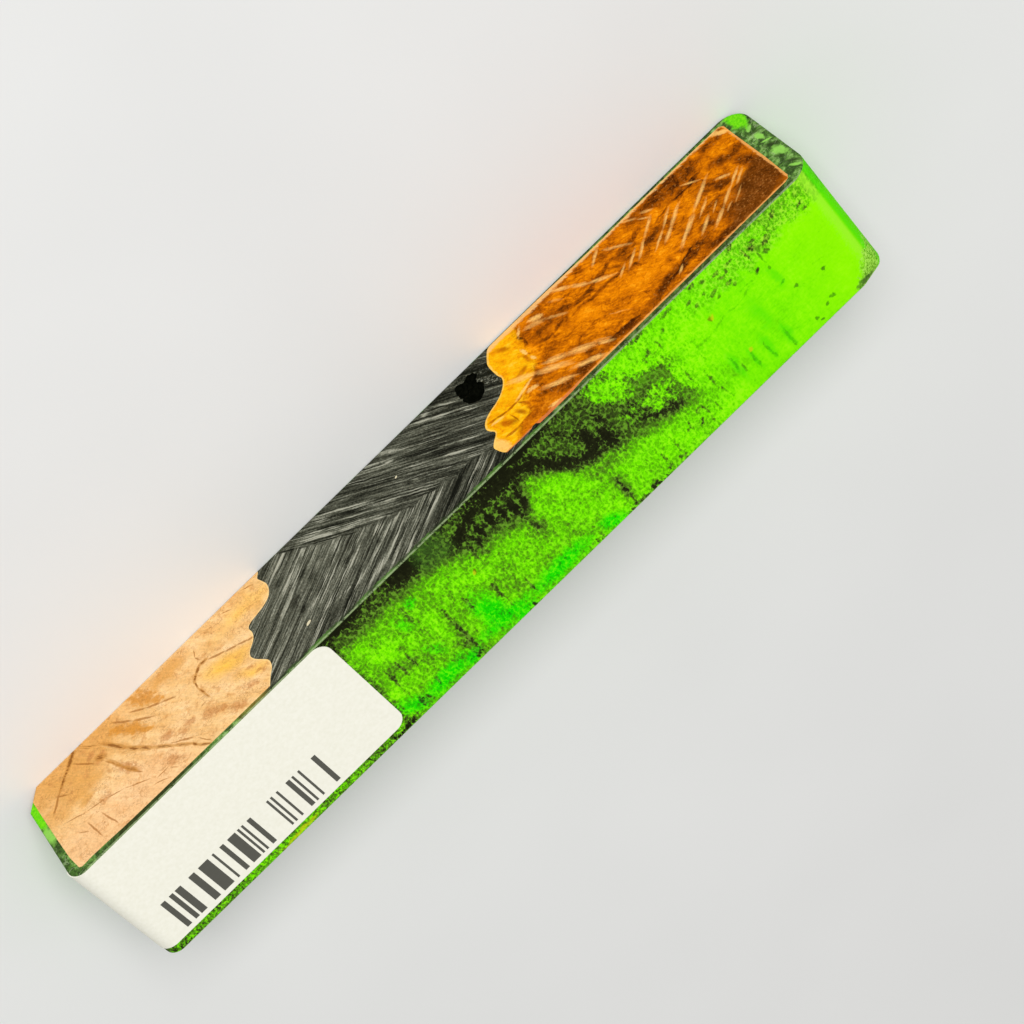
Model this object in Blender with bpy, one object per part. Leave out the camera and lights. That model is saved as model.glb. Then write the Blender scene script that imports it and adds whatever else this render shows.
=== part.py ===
"""Mallee burl hybrid pen blank: two pieces of burl cast in green and black resin, with a paper label.

Metres, +Z up. +X points to the pale piece of burl, -Y is the sanded side that shows the wood, and +Z is
the green side with the label. The blank lies on its lower side, with the origin under its middle.
"""

import math

import bmesh
import bpy
from mathutils import Vector

MM = 0.001

# The bar, cut as stock for turning
LENGTH = 128.7 * MM
WIDTH = 20.8 * MM
HEIGHT = 19.5 * MM
SANDED_END_ROUND = 3.4 * MM
LABEL_END_ROUND = 2.2 * MM
SIDE_EDGE_ROUND = 0.3 * MM
SIDE_EDGE_SEGMENTS = 2
ARC_STEPS = 6

# The corner that the sanding disc flattened: where its slope starts on the top, and how deep it cuts
FACET_ALONG_END = 5.4 * MM
FACET_ALONG_SIDE = 5.0 * MM
FACET_SLOPE = math.radians(22.0)
FACET_CUTTER = 14.0 * MM

# The flat below the end with the label: how far it reaches along the bar and up the end
LOWER_FLAT_ALONG = 2.55 * MM
LOWER_FLAT_UP = 3.2 * MM

# The burl, from the sanded side inwards
BURL_DEPTH = 12.0 * MM
BURL_STATIONS = 6
PALE_END = 63.2 * MM
PALE_TOP = 18.7 * MM
ORANGE_END = -61.4 * MM
ORANGE_TOP = 18.6 * MM
ORANGE_BOTTOM = 0.5 * MM
BELOW_BAR = -1.0 * MM
DRIFT_WAVE = 1.6 * MM
DRIFT_SLANT = 1.2 * MM
DRIFT_HEIGHT = 5.0 * MM

# The natural edges on the sanded side, from the lower edge of the bar to the ridge: x and z in millimetres
PALE_LIVE_EDGE = (
    (21.6, -1.0), (21.8, 0.4), (22.4, 1.25), (22.0, 2.4), (22.0, 4.4), (22.8, 5.65), (25.4, 6.65),
    (27.1, 7.45), (27.3, 8.75), (27.6, 9.75), (29.0, 10.85), (29.35, 11.85), (28.9, 13.15),
    (27.8, 14.85), (27.9, 15.95), (28.7, 17.15), (29.6, 18.7),
)
ORANGE_LIVE_EDGE = (
    (-19.3, 0.5), (-18.4, 2.0), (-18.0, 3.35), (-17.9, 5.45), (-18.0, 7.15), (-17.3, 8.35),
    (-15.9, 9.45), (-14.0, 10.25), (-12.6, 11.05), (-12.05, 12.15), (-12.5, 13.75), (-12.4, 14.55),
    (-11.5, 15.35), (-11.1, 16.25), (-11.3, 17.5), (-11.9, 18.6),
)

# Room between a piece of burl and its pocket
FIT_GAP = 0.3 * MM
PAST_FACE = 1.0 * MM

# The open bubble in the black resin: centre x and z on the sanded side, half width, half height, depth
BUBBLES = (
    (-14.1 * MM, 5.35 * MM, 1.7 * MM, 1.5 * MM, 1.3 * MM),
    (-14.3 * MM, 2.9 * MM, 1.8 * MM, 1.4 * MM, 0.9 * MM),
)
BUBBLE_SUBDIVISIONS = 2

# The label, folded over the end of the bar
LABEL_START = 21.05 * MM
LABEL_RIDGE_SIDE = -10.2 * MM
LABEL_OUTER_SIDE = 8.8 * MM
LABEL_CORNER = 1.9 * MM
LABEL_THICKNESS = 0.12 * MM
LABEL_GAP = 0.1 * MM
LABEL_FOLD_STEPS = 8
LABEL_CORNER_STEPS = 5
LABEL_TAIL = 0.3 * MM

GREEN_RESIN = (0.17, 0.72, 0.004)
PALE_WOOD = (0.88, 0.52, 0.22)
ORANGE_WOOD = (0.60, 0.17, 0.008)
PAPER = (0.86, 0.85, 0.77)


def clear_scene():
    for old in list(bpy.data.objects):
        bpy.data.objects.remove(old, do_unlink=True)


def finish(name, colour, roughness):
    material = bpy.data.materials.new(name)
    material.use_nodes = True
    shader = material.node_tree.nodes["Principled BSDF"]
    shader.inputs["Base Color"].default_value = (*colour, 1.0)
    shader.inputs["Roughness"].default_value = roughness
    shader.inputs["Metallic"].default_value = 0.0
    return material


def object_from(form, name, material=None):
    """Turns a bmesh into an object with its faces pointing out."""
    bmesh.ops.recalc_face_normals(form, faces=form.faces)
    mesh = bpy.data.meshes.new(name)
    form.to_mesh(mesh)
    form.free()
    item = bpy.data.objects.new(name, mesh)
    bpy.context.scene.collection.objects.link(item)
    if material is not None:
        mesh.materials.append(material)
    return item


def as_cutter(item):
    item.hide_render = True
    item.display_type = "WIRE"
    return item


def boolean(item, operation, tool):
    step = item.modifiers.new(f"{operation.lower()}_{tool.name}", "BOOLEAN")
    step.operation = operation
    step.solver = "EXACT"
    step.object = tool


def arc(centre_x, centre_z, radius, first):
    """Points of a quarter circle in X and Z, clockwise from an angle in degrees."""
    points = []
    for step in range(ARC_STEPS + 1):
        angle = math.radians(first - 90.0 * step / ARC_STEPS)
        points.append((centre_x + radius * math.cos(angle), centre_z + radius * math.sin(angle)))
    return points


def side_outline():
    """The outline of the bar from the sanded side: round ends, and one flat at a lower end edge."""
    left = -LENGTH / 2 + SANDED_END_ROUND
    right = LENGTH / 2 - LABEL_END_ROUND
    return [
        *arc(left, SANDED_END_ROUND, SANDED_END_ROUND, 270.0),
        *arc(left, HEIGHT - SANDED_END_ROUND, SANDED_END_ROUND, 180.0),
        *arc(right, HEIGHT - LABEL_END_ROUND, LABEL_END_ROUND, 90.0),
        (LENGTH / 2, LOWER_FLAT_UP),
        (LENGTH / 2 - LOWER_FLAT_ALONG, 0.0),
    ]


def bar_object(name, material=None):
    """The sanded bar: its outline swept across, with the edges of both sides broken a little."""
    outline = side_outline()
    form = bmesh.new()
    near, far = [
        [form.verts.new((x, y, z)) for x, z in outline] for y in (-WIDTH / 2, WIDTH / 2)
    ]
    weights = form.edges.layers.float.new("bevel_weight_edge")
    for ring in (near, far):
        for edge in form.faces.new(ring).edges:
            edge[weights] = 1.0
    for index in range(len(outline)):
        form.faces.new((near[index - 1], near[index], far[index], far[index - 1]))
    bar = object_from(form, name, material)
    rounding = bar.modifiers.new("rounding", "BEVEL")
    rounding.limit_method = "WEIGHT"
    rounding.width = SIDE_EDGE_ROUND
    rounding.segments = SIDE_EDGE_SEGMENTS
    return bar


def facet_cutter():
    """A block whose lower face slopes down across the corner at -X, +Y."""
    start = Vector((-LENGTH / 2 + FACET_ALONG_SIDE, WIDTH / 2, HEIGHT))
    end = Vector((-LENGTH / 2, WIDTH / 2 - FACET_ALONG_END, HEIGHT))
    middle = (start + end) / 2
    across = Vector((-(start - end).y, (start - end).x, 0.0)).normalized()
    down = math.sin(FACET_SLOPE)
    normal = across * down + Vector((0.0, 0.0, math.cos(FACET_SLOPE)))
    form = bmesh.new()
    bmesh.ops.create_cube(form, size=FACET_CUTTER)
    bmesh.ops.translate(form, vec=(0.0, 0.0, FACET_CUTTER / 2), verts=form.verts)
    turn = Vector((0.0, 0.0, 1.0)).rotation_difference(normal)
    bmesh.ops.rotate(form, matrix=turn.to_matrix(), verts=form.verts)
    bmesh.ops.translate(form, vec=middle, verts=form.verts)
    return as_cutter(object_from(form, "sanded_corner_cutter"))


def drift(share, height):
    """How far the live edge wanders along X behind the sanded side."""
    wave = DRIFT_WAVE * math.sin(1.3 * math.pi * share) * math.cos(height / DRIFT_HEIGHT)
    return wave - DRIFT_SLANT * share * share


def grown(outline, gap):
    """The closed outline moved outwards by a gap, corner by corner."""
    area = sum(
        a[0] * b[1] - b[0] * a[1] for a, b in zip(outline, outline[1:] + outline[:1])
    )
    side = 1.0 if area > 0 else -1.0
    moved = []
    for index, (x, z) in enumerate(outline):
        before = Vector(outline[index - 1])
        after = Vector(outline[(index + 1) % len(outline)])
        here = Vector((x, z))
        first = (here - before).normalized()
        second = (after - here).normalized()
        out_first = Vector((first.y, -first.x)) * side
        out_second = Vector((second.y, -second.x)) * side
        bisector = (out_first + out_second).normalized()
        reach = gap / max(bisector.dot(out_first), 0.5)
        moved.append((x + bisector.x * reach, z + bisector.y * reach))
    return moved


def burl_form(live_edge, end, bottom, top, gap=0.0):
    """A block from the sanded side inwards, whose inner side is the live edge."""
    edge = [(x * MM, z * MM) for x, z in live_edge]
    outline = [*edge, (end, top), (end, bottom)]
    if gap:
        outline = grown(outline, gap)
    depth = BURL_DEPTH + gap
    front = -WIDTH / 2
    stations = [(front - PAST_FACE, 0.0)]
    for index in range(BURL_STATIONS + 1):
        share = index / BURL_STATIONS
        stations.append((front + depth * share, share))
    form = bmesh.new()
    rings = []
    for y, share in stations:
        ring = []
        for index, (x, z) in enumerate(outline):
            on_live_edge = index < len(edge)
            shift = drift(share, z) if on_live_edge else 0.0
            ring.append(form.verts.new((x + shift, y, z)))
        rings.append(ring)
    for ring, following in zip(rings, rings[1:]):
        for index in range(len(ring)):
            beside = (index + 1) % len(ring)
            form.faces.new((ring[index], ring[beside], following[beside], following[index]))
    form.faces.new(rings[0])
    form.faces.new(rings[-1])
    return form


def bubble_cutter(index, bubble):
    x, z, half_width, half_height, depth = bubble
    form = bmesh.new()
    bmesh.ops.create_icosphere(form, subdivisions=BUBBLE_SUBDIVISIONS, radius=1.0)
    bmesh.ops.scale(form, vec=(half_width, depth, half_height), verts=form.verts)
    bmesh.ops.translate(form, vec=(x, -WIDTH / 2, z), verts=form.verts)
    return as_cutter(object_from(form, f"bubble_cutter_{index}"))


def make_resin():
    resin = bar_object("resin_casting", finish("green_resin", GREEN_RESIN, 0.35))
    boolean(resin, "DIFFERENCE", facet_cutter())
    pale_room = burl_form(PALE_LIVE_EDGE, PALE_END, BELOW_BAR, PALE_TOP, FIT_GAP)
    orange_room = burl_form(ORANGE_LIVE_EDGE, ORANGE_END, ORANGE_BOTTOM, ORANGE_TOP, FIT_GAP)
    boolean(resin, "DIFFERENCE", as_cutter(object_from(pale_room, "pale_pocket_cutter")))
    boolean(resin, "DIFFERENCE", as_cutter(object_from(orange_room, "orange_pocket_cutter")))
    for index, bubble in enumerate(BUBBLES):
        boolean(resin, "DIFFERENCE", bubble_cutter(index, bubble))


def make_burl():
    """Both pieces are trimmed by the sanded bar, so they end flush with it."""
    trim = as_cutter(bar_object("bar_form"))
    pale = burl_form(PALE_LIVE_EDGE, PALE_END, BELOW_BAR, PALE_TOP)
    pale_burl = object_from(pale, "pale_burl", finish("pale_burl", PALE_WOOD, 0.6))
    boolean(pale_burl, "INTERSECT", trim)
    orange = burl_form(ORANGE_LIVE_EDGE, ORANGE_END, ORANGE_BOTTOM, ORANGE_TOP)
    orange_burl = object_from(orange, "orange_burl", finish("orange_burl", ORANGE_WOOD, 0.5))
    boolean(orange_burl, "INTERSECT", trim)


def label_stations():
    """Places along the label: x, z and how far its corners narrow it there."""
    lift = HEIGHT + LABEL_GAP
    stations = []
    for step in range(LABEL_CORNER_STEPS + 1):
        angle = math.radians(90.0) * step / LABEL_CORNER_STEPS
        along = LABEL_CORNER * (1.0 - math.cos(angle))
        narrowed = LABEL_CORNER * (1.0 - math.sin(angle))
        stations.append((LABEL_START + along, lift, narrowed))
    fold_x = LENGTH / 2 - LABEL_END_ROUND
    fold_z = HEIGHT - LABEL_END_ROUND
    radius = LABEL_END_ROUND + LABEL_GAP
    for step in range(LABEL_FOLD_STEPS + 1):
        angle = math.radians(90.0) * step / LABEL_FOLD_STEPS
        stations.append((fold_x + radius * math.sin(angle), fold_z + radius * math.cos(angle), 0.0))
    stations.append((fold_x + radius, fold_z - LABEL_TAIL, 0.0))
    return stations


def make_label():
    form = bmesh.new()
    rows = []
    for x, z, narrowed in label_stations():
        ridge_side = form.verts.new((x, LABEL_RIDGE_SIDE + narrowed, z))
        outer_side = form.verts.new((x, LABEL_OUTER_SIDE - narrowed, z))
        rows.append((ridge_side, outer_side))
    for row, following in zip(rows, rows[1:]):
        form.faces.new((row[0], following[0], following[1], row[1]))
    mesh = bpy.data.meshes.new("paper_label")
    form.to_mesh(mesh)
    form.free()
    mesh.materials.append(finish("paper", PAPER, 0.7))
    label = bpy.data.objects.new("paper_label", mesh)
    bpy.context.scene.collection.objects.link(label)
    paper = label.modifiers.new("paper", "SOLIDIFY")
    paper.thickness = LABEL_THICKNESS
    paper.offset = 1.0


clear_scene()
make_resin()
make_burl()
make_label()
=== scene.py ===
# %% [markdown]
# # A burl and resin pen blank
#
# A pen blank is a square bar that a turner drills and turns into the barrel of a pen. This one is a
# hybrid: two pieces of mallee burl lie in green resin with black resin swirled into it. One long side was
# sanded across and shows the wood, and the side beside it is still sawn and carries a paper label.
#
# The imported model gives the place and the size of every piece. It is loaded first.

# %% Load the imported model
import math

import bmesh
import bpy
from mathutils import Matrix, Vector, noise


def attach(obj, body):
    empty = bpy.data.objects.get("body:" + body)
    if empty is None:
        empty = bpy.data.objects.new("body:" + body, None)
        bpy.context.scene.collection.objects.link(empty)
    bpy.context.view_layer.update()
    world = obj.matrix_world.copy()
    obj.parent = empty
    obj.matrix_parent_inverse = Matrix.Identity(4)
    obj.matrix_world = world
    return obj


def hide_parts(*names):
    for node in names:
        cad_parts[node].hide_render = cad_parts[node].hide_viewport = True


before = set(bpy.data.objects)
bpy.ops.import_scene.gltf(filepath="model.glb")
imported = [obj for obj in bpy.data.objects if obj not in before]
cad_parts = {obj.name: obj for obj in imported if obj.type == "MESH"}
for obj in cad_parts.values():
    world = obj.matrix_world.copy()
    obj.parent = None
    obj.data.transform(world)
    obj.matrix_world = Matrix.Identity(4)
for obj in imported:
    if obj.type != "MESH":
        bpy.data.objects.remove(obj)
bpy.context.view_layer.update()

MM = 0.001
LENGTH = 128.7
WIDTH = 20.8
HEIGHT = 19.5
FRONT = -WIDTH / 2
print("nodes:", sorted(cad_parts))

# %% [markdown]
# ## Camera, floor and light
#
# The camera looks down on the ridge between the sanded side and the green side, turned so that the blank
# runs from the lower left to the upper right. The long lens keeps the sides of the bar nearly parallel.

# %% Camera
CAMERA_PLACE = Vector((-8.46, -278.68, 350.83)) * MM
CAMERA_FORWARD = Vector((0.00309, 0.63856, -0.76956))
CAMERA_RIGHT = Vector((-0.71637, 0.53836, 0.44383))
LENS = 120.09
SENSOR = 36.0
NEAREST, FARTHEST = 0.01, 20.0

forward = CAMERA_FORWARD.normalized()
right = (CAMERA_RIGHT - forward * CAMERA_RIGHT.dot(forward)).normalized()
up = right.cross(forward)
turn = Matrix((right, up, -forward)).transposed().to_4x4()
camera_data = bpy.data.cameras.new("camera")
camera_data.lens = LENS
camera_data.sensor_width = SENSOR
camera_data.clip_start = NEAREST
camera_data.clip_end = FARTHEST
camera = bpy.data.objects.new("camera", camera_data)
camera.matrix_world = Matrix.Translation(CAMERA_PLACE) @ turn
bpy.context.scene.collection.objects.link(camera)
bpy.context.scene.camera = camera
print("camera distance in mm:", round(CAMERA_PLACE.length / MM))

# %% [markdown]
# The light is a studio's: a pale sheet below, an even dome all round, and one large soft box above and
# behind the camera, so that both visible sides are lit alike and the shadow falls softly behind.

# %% Floor and light
FLOOR_SIZE = 3.0
FLOOR_DROP = 0.00002
DOME = 0.45
WHITE = (1.0, 1.0, 1.0, 1.0)
SOFT_BOX_PLACE = Vector((-0.08, -0.80, 0.95))
SOFT_BOX_SIZE = 0.6
SOFT_BOX_POWER = 12.0


def sheet_floor():
    form = bmesh.new()
    bmesh.ops.create_grid(form, x_segments=1, y_segments=1, size=FLOOR_SIZE / 2)
    bmesh.ops.translate(form, vec=(0.0, 0.0, -FLOOR_DROP), verts=form.verts)
    mesh = bpy.data.meshes.new("floor")
    form.to_mesh(mesh)
    form.free()
    floor = bpy.data.objects.new("floor", mesh)
    bpy.context.scene.collection.objects.link(floor)
    return floor


floor = sheet_floor()

world = bpy.data.worlds.new("dome")
world.use_nodes = True
sky = world.node_tree.nodes["Background"]
sky.inputs["Color"].default_value = WHITE
sky.inputs["Strength"].default_value = DOME
bpy.context.scene.world = world

soft_box_data = bpy.data.lights.new("soft_box", "AREA")
soft_box_data.energy = SOFT_BOX_POWER
soft_box_data.size = SOFT_BOX_SIZE
soft_box = bpy.data.objects.new("soft_box", soft_box_data)
soft_box.location = SOFT_BOX_PLACE
soft_box.rotation_euler = SOFT_BOX_PLACE.to_track_quat("Z", "Y").to_euler()
bpy.context.scene.collection.objects.link(soft_box)

screen = bpy.context.scene.view_settings
screen.view_transform = "Standard"
screen.look = "None"
screen.exposure = 0.0
screen.gamma = 1.0
print("light:", soft_box_data.energy, "W from a soft box, dome strength", DOME)

# %% [markdown]
# ## Writing node trees as sums
#
# Every finish and every rule-made shape below is a tree of nodes. Two small classes keep them readable. A
# `Wire` wraps the output of a node, and adding or multiplying wires adds Math nodes. A `Tree` makes any
# other node from its type, its settings and the values or wires of its sockets.

# %% Wires and trees
class Wire:
    """The output of a node, so that sums read as sums."""

    def __init__(self, tree, socket):
        self.tree = tree
        self.socket = socket

    def maths(self, operation, first, second):
        return self.tree.maths(operation, first, second)

    def __add__(self, other):
        return self.maths("ADD", self, other)

    def __radd__(self, other):
        return self.maths("ADD", other, self)

    def __sub__(self, other):
        return self.maths("SUBTRACT", self, other)

    def __rsub__(self, other):
        return self.maths("SUBTRACT", other, self)

    def __mul__(self, other):
        return self.maths("MULTIPLY", self, other)

    def __rmul__(self, other):
        return self.maths("MULTIPLY", other, self)

    def __truediv__(self, other):
        return self.maths("DIVIDE", self, other)

    def at_least(self, other):
        return self.maths("MAXIMUM", self, other)

    def at_most(self, other):
        return self.maths("MINIMUM", self, other)

    def above(self, other):
        return self.maths("GREATER_THAN", self, other)

    def size(self):
        return self.maths("ABSOLUTE", self, 0.0)


class Tree:
    """A node tree, a material's or a shape's."""

    def __init__(self, nodes):
        self.nodes = nodes

    def node(self, kind, settings=None, inputs=None, output=0):
        made = self.nodes.nodes.new(kind)
        for name, value in (settings or {}).items():
            if name == "stops":
                self.set_stops(made.color_ramp, value)
            elif name == "points":
                self.set_points(made.mapping, value)
            else:
                setattr(made, name, value)
        for name, value in (inputs or {}).items():
            if isinstance(value, Wire):
                self.nodes.links.new(value.socket, made.inputs[name])
            else:
                made.inputs[name].default_value = value
        return Wire(self, made.outputs[output])

    def maths(self, operation, *values):
        return self.node("ShaderNodeMath", {"operation": operation}, dict(enumerate(values)))

    def vectors(self, operation, inputs):
        return self.node("ShaderNodeVectorMath", {"operation": operation}, inputs)

    def parts(self, vector):
        """The X, Y and Z of a vector."""
        return [self.node("ShaderNodeSeparateXYZ", {}, {"Vector": vector}, part) for part in "XYZ"]

    def set_stops(self, ramp, stops):
        while len(ramp.elements) < len(stops):
            ramp.elements.new(1.0)
        for element, (place, colour) in zip(ramp.elements, stops):
            element.position = place
            element.color = (*colour, 1.0)

    def set_points(self, mapping, points):
        line = mapping.curves[0]
        while len(line.points) < len(points):
            line.points.new(0.5, 0.5)
        for point, place in zip(line.points, points):
            point.location = place
        mapping.update()


# %% [markdown]
# ## The shape of the bar
#
# The bar is its outline swept across. The sander rounded both edges of one end a lot and the upper edge of
# the other, where the label folds over, and it left a flat at the fourth. The long edges are only just
# broken. One corner has a shallow sanded flat. The other pieces are cut from the bar or into it, so all
# outer faces are flush, as on a bar that was sawn after casting.

# %% The sanded bar
SANDED_END_ROUND = 3.4
LABEL_END_ROUND = 2.2
ARC_STEPS = 24
LOWER_FLAT_ALONG = 2.55
LOWER_FLAT_UP = 3.2
SIDE_EDGE_ROUND = 0.3
SIDE_EDGE_SEGMENTS = 5
FACET_ALONG_END = 5.4
FACET_ALONG_SIDE = 5.0
FACET_SLOPE = math.radians(22.0)
FACET_CUTTER = 14.0


def object_from(form, name):
    """An object from a shape in millimetres, its faces pointing out."""
    bmesh.ops.scale(form, vec=(MM, MM, MM), verts=form.verts)
    bmesh.ops.recalc_face_normals(form, faces=form.faces)
    mesh = bpy.data.meshes.new(name)
    form.to_mesh(mesh)
    form.free()
    item = bpy.data.objects.new(name, mesh)
    bpy.context.scene.collection.objects.link(item)
    return item


def settled(item, name):
    """The evaluated shape of an object as a plain mesh without modifiers."""
    depsgraph = bpy.context.evaluated_depsgraph_get()
    mesh = bpy.data.meshes.new_from_object(item.evaluated_get(depsgraph), depsgraph=depsgraph)
    mesh.name = name
    plain = bpy.data.objects.new(name, mesh)
    bpy.context.scene.collection.objects.link(plain)
    return plain


def combine(item, operation, tool):
    step = item.modifiers.new(operation.lower(), "BOOLEAN")
    step.operation = operation
    step.solver = "EXACT"
    step.material_mode = "TRANSFER"
    step.object = tool


def throw_away(*items):
    for item in items:
        bpy.data.objects.remove(item, do_unlink=True)


def arc(centre_x, centre_z, radius, first):
    """Points of a quarter circle in X and Z, clockwise from an angle in degrees."""
    points = []
    for step in range(ARC_STEPS + 1):
        angle = math.radians(first - 90.0 * step / ARC_STEPS)
        points.append((centre_x + radius * math.cos(angle), centre_z + radius * math.sin(angle)))
    return points


def side_outline():
    left = -LENGTH / 2 + SANDED_END_ROUND
    right = LENGTH / 2 - LABEL_END_ROUND
    return [
        *arc(left, SANDED_END_ROUND, SANDED_END_ROUND, 270.0),
        *arc(left, HEIGHT - SANDED_END_ROUND, SANDED_END_ROUND, 180.0),
        *arc(right, HEIGHT - LABEL_END_ROUND, LABEL_END_ROUND, 90.0),
        (LENGTH / 2, LOWER_FLAT_UP),
        (LENGTH / 2 - LOWER_FLAT_ALONG, 0.0),
    ]


def bar_blank(name):
    outline = side_outline()
    form = bmesh.new()
    near, far = [[form.verts.new((x, y, z)) for x, z in outline] for y in (FRONT, -FRONT)]
    weights = form.edges.layers.float.new("bevel_weight_edge")
    for ring in (near, far):
        for edge in form.faces.new(ring).edges:
            edge[weights] = 1.0
    for index in range(len(outline)):
        form.faces.new((near[index - 1], near[index], far[index], far[index - 1]))
    bar = object_from(form, name)
    rounding = bar.modifiers.new("rounding", "BEVEL")
    rounding.limit_method = "WEIGHT"
    rounding.width = SIDE_EDGE_ROUND * MM
    rounding.segments = SIDE_EDGE_SEGMENTS
    plain = settled(bar, name)
    throw_away(bar)
    return plain


def facet_line():
    """The two points where the sanded corner begins on the top edges."""
    start = Vector((-LENGTH / 2 + FACET_ALONG_SIDE, WIDTH / 2, HEIGHT))
    end = Vector((-LENGTH / 2, WIDTH / 2 - FACET_ALONG_END, HEIGHT))
    return start, end


def facet_way():
    """The direction that the sanded corner faces."""
    start, end = facet_line()
    across = Vector((-(start - end).y, (start - end).x, 0.0)).normalized()
    return across * math.sin(FACET_SLOPE) + Vector((0.0, 0.0, math.cos(FACET_SLOPE)))


def facet_cutter():
    start, end = facet_line()
    form = bmesh.new()
    bmesh.ops.create_cube(form, size=FACET_CUTTER)
    bmesh.ops.translate(form, vec=(0.0, 0.0, FACET_CUTTER / 2), verts=form.verts)
    lean = Vector((0.0, 0.0, 1.0)).rotation_difference(facet_way())
    bmesh.ops.rotate(form, matrix=lean.to_matrix(), verts=form.verts)
    bmesh.ops.translate(form, vec=(start + end) / 2, verts=form.verts)
    return object_from(form, "sanded_corner")


bar_form = bar_blank("bar_form")
print("bar:", len(bar_form.data.polygons), "faces")

# %% [markdown]
# ## The two pieces of burl
#
# Each piece of burl was sawn flat on its outer sides and kept its natural live edge, the wavy outline
# under the bark, where it meets the resin. Its shape follows a rule: the outline on the sanded side runs
# into the bar, and the live edge drifts along the bar as it goes. Geometry Nodes sweep the outline along
# a line into the bar and then shift the live edge.

# %% Outlines on the sanded side
PALE_LIVE_EDGE = (
    (21.5, -1), (21.7, -0.2), (21.9, 0.5), (22.4, 1.25), (22.1, 2.4), (21.9, 3.4), (22.1, 4.5), (22.8, 5.6),
    (24, 6.25), (25.4, 6.6), (26.7, 6.9), (27.3, 7.5), (27.25, 8.5), (27.5, 9.4), (28, 10.1), (28.8, 10.8),
    (29.25, 11.5), (29.3, 12.2), (29, 13), (28.4, 13.9), (27.85, 14.8), (27.8, 15.6), (28.1, 16.5),
    (28.8, 17.4), (29.3, 18.2), (29.7, 18.85),
)
PALE_REST = (
    (36, 18.85), (44, 18.8), (50, 18.75), (55, 18.65), (58, 18.5), (60.5, 18.4), (62.3, 18.5), (62.7, 18.2),
    (63.05, 15.5), (63.15, 11), (63.2, 5), (63.2, -1),
)
ORANGE_LIVE_EDGE = (
    (-20, 0.3), (-19.6, 0.45), (-19.2, 0.8), (-18.5, 1.9), (-18, 3), (-17.9, 4.5), (-17.95, 6),
    (-18.1, 6.9), (-17.7, 7.9), (-16.8, 8.9), (-15.5, 9.7), (-14, 10.2), (-12.9, 10.8), (-12.3, 11.5),
    (-12.05, 12.3), (-12.2, 13), (-12.6, 13.8), (-12.4, 14.4), (-11.6, 15.2), (-11.1, 16), (-11.2, 16.8),
    (-11.5, 17.8), (-11.9, 18.45),
)
ORANGE_REST = (
    (-14, 18.55), (-16.1, 18.5), (-16.5, 18.25), (-17, 18.3), (-17.4, 18.85), (-20, 18.9), (-23, 18.85),
    (-25, 18.6), (-34, 18.65), (-48, 18.6), (-60.4, 18.55), (-61, 18.35), (-61.3, 17.8), (-61.4, 12),
    (-61.3, 5), (-61.3, 1.5), (-60.8, 0.9), (-56, 0.75), (-47, 0.65), (-40, 0.7), (-36, 0.6), (-30, 0.35),
    (-24, 0.3),
)
SMOOTHING = 4


def flowing(points, steps):
    """More points on a smooth line through the given ones."""
    line = []
    last = len(points) - 1
    for index in range(last):
        before = Vector(points[max(index - 1, 0)])
        start = Vector(points[index])
        end = Vector(points[index + 1])
        after = Vector(points[min(index + 2, last)])
        for step in range(steps):
            part = step / steps
            square = part * part
            cube = square * part
            line.append(
                0.5
                * (
                    2 * start
                    + (end - before) * part
                    + (2 * before - 5 * start + 4 * end - after) * square
                    + (3 * start - before - 3 * end + after) * cube
                )
            )
    line.append(Vector(points[last]))
    return line


def outline_object(name, live_edge, rest):
    """A closed line of edges with the outline, flat in its own X and Y."""
    form = bmesh.new()
    points = [*flowing(live_edge, SMOOTHING), *[Vector(point) for point in rest]]
    verts = [form.verts.new((x, z, 0.0)) for x, z in points]
    for vert, following in zip(verts, verts[1:] + verts[:1]):
        form.edges.new((vert, following))
    print(name, "outline:", len(verts), "points")
    return object_from(form, name)


# %% [markdown]
# The sweep runs from one millimetre outside the sanded side to 12 mm inside. The drift is a slow wave that
# changes with height, less a slant: `1.6 sin(1.3 pi s) cos(z / 5) - 1.2 s s`, with `s` from 0 to 1.

# %% Geometry Nodes: an outline swept into the bar
BURL_DEPTH = 12.0
PAST_FACE = 1.0
BURL_STATIONS = 26
DRIFT_WAVE = 1.6
DRIFT_TURNS = 1.3 * math.pi
DRIFT_HEIGHT = 5.0
DRIFT_SLANT = 1.2


def new_shape_tree(name, sizes):
    """An empty Geometry Nodes tree with named inputs for its sizes."""
    group = bpy.data.node_groups.new(name, "GeometryNodeTree")
    group.interface.new_socket("Geometry", in_out="INPUT", socket_type="NodeSocketGeometry")
    for size, start in sizes.items():
        socket = group.interface.new_socket(size, in_out="INPUT", socket_type="NodeSocketFloat")
        socket.default_value = start
    group.interface.new_socket("Material", in_out="INPUT", socket_type="NodeSocketMaterial")
    group.interface.new_socket("Geometry", in_out="OUTPUT", socket_type="NodeSocketGeometry")
    return group


def inputs_of(tree):
    given = tree.nodes.nodes.new("NodeGroupInput")
    return {socket.name: Wire(tree, socket) for socket in given.outputs if socket.name}


def end_shape_tree(tree, geometry, material):
    real = tree.node("GeometryNodeRealizeInstances", {}, {"Geometry": geometry})
    painted = tree.node("GeometryNodeSetMaterial", {}, {"Geometry": real, "Material": material})
    out = tree.nodes.nodes.new("NodeGroupOutput")
    tree.nodes.links.new(painted.socket, out.inputs["Geometry"])


def shaped_by(item, group, values, material):
    """Adds the tree to an object as a modifier and sets its inputs by their identifiers."""
    step = item.modifiers.new(group.name, "NODES")
    step.node_group = group
    for socket in group.interface.items_tree:
        if socket.item_type == "SOCKET" and socket.in_out == "INPUT":
            if socket.name in values:
                step[socket.identifier] = values[socket.name]
            elif socket.name == "Material":
                step[socket.identifier] = material


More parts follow.
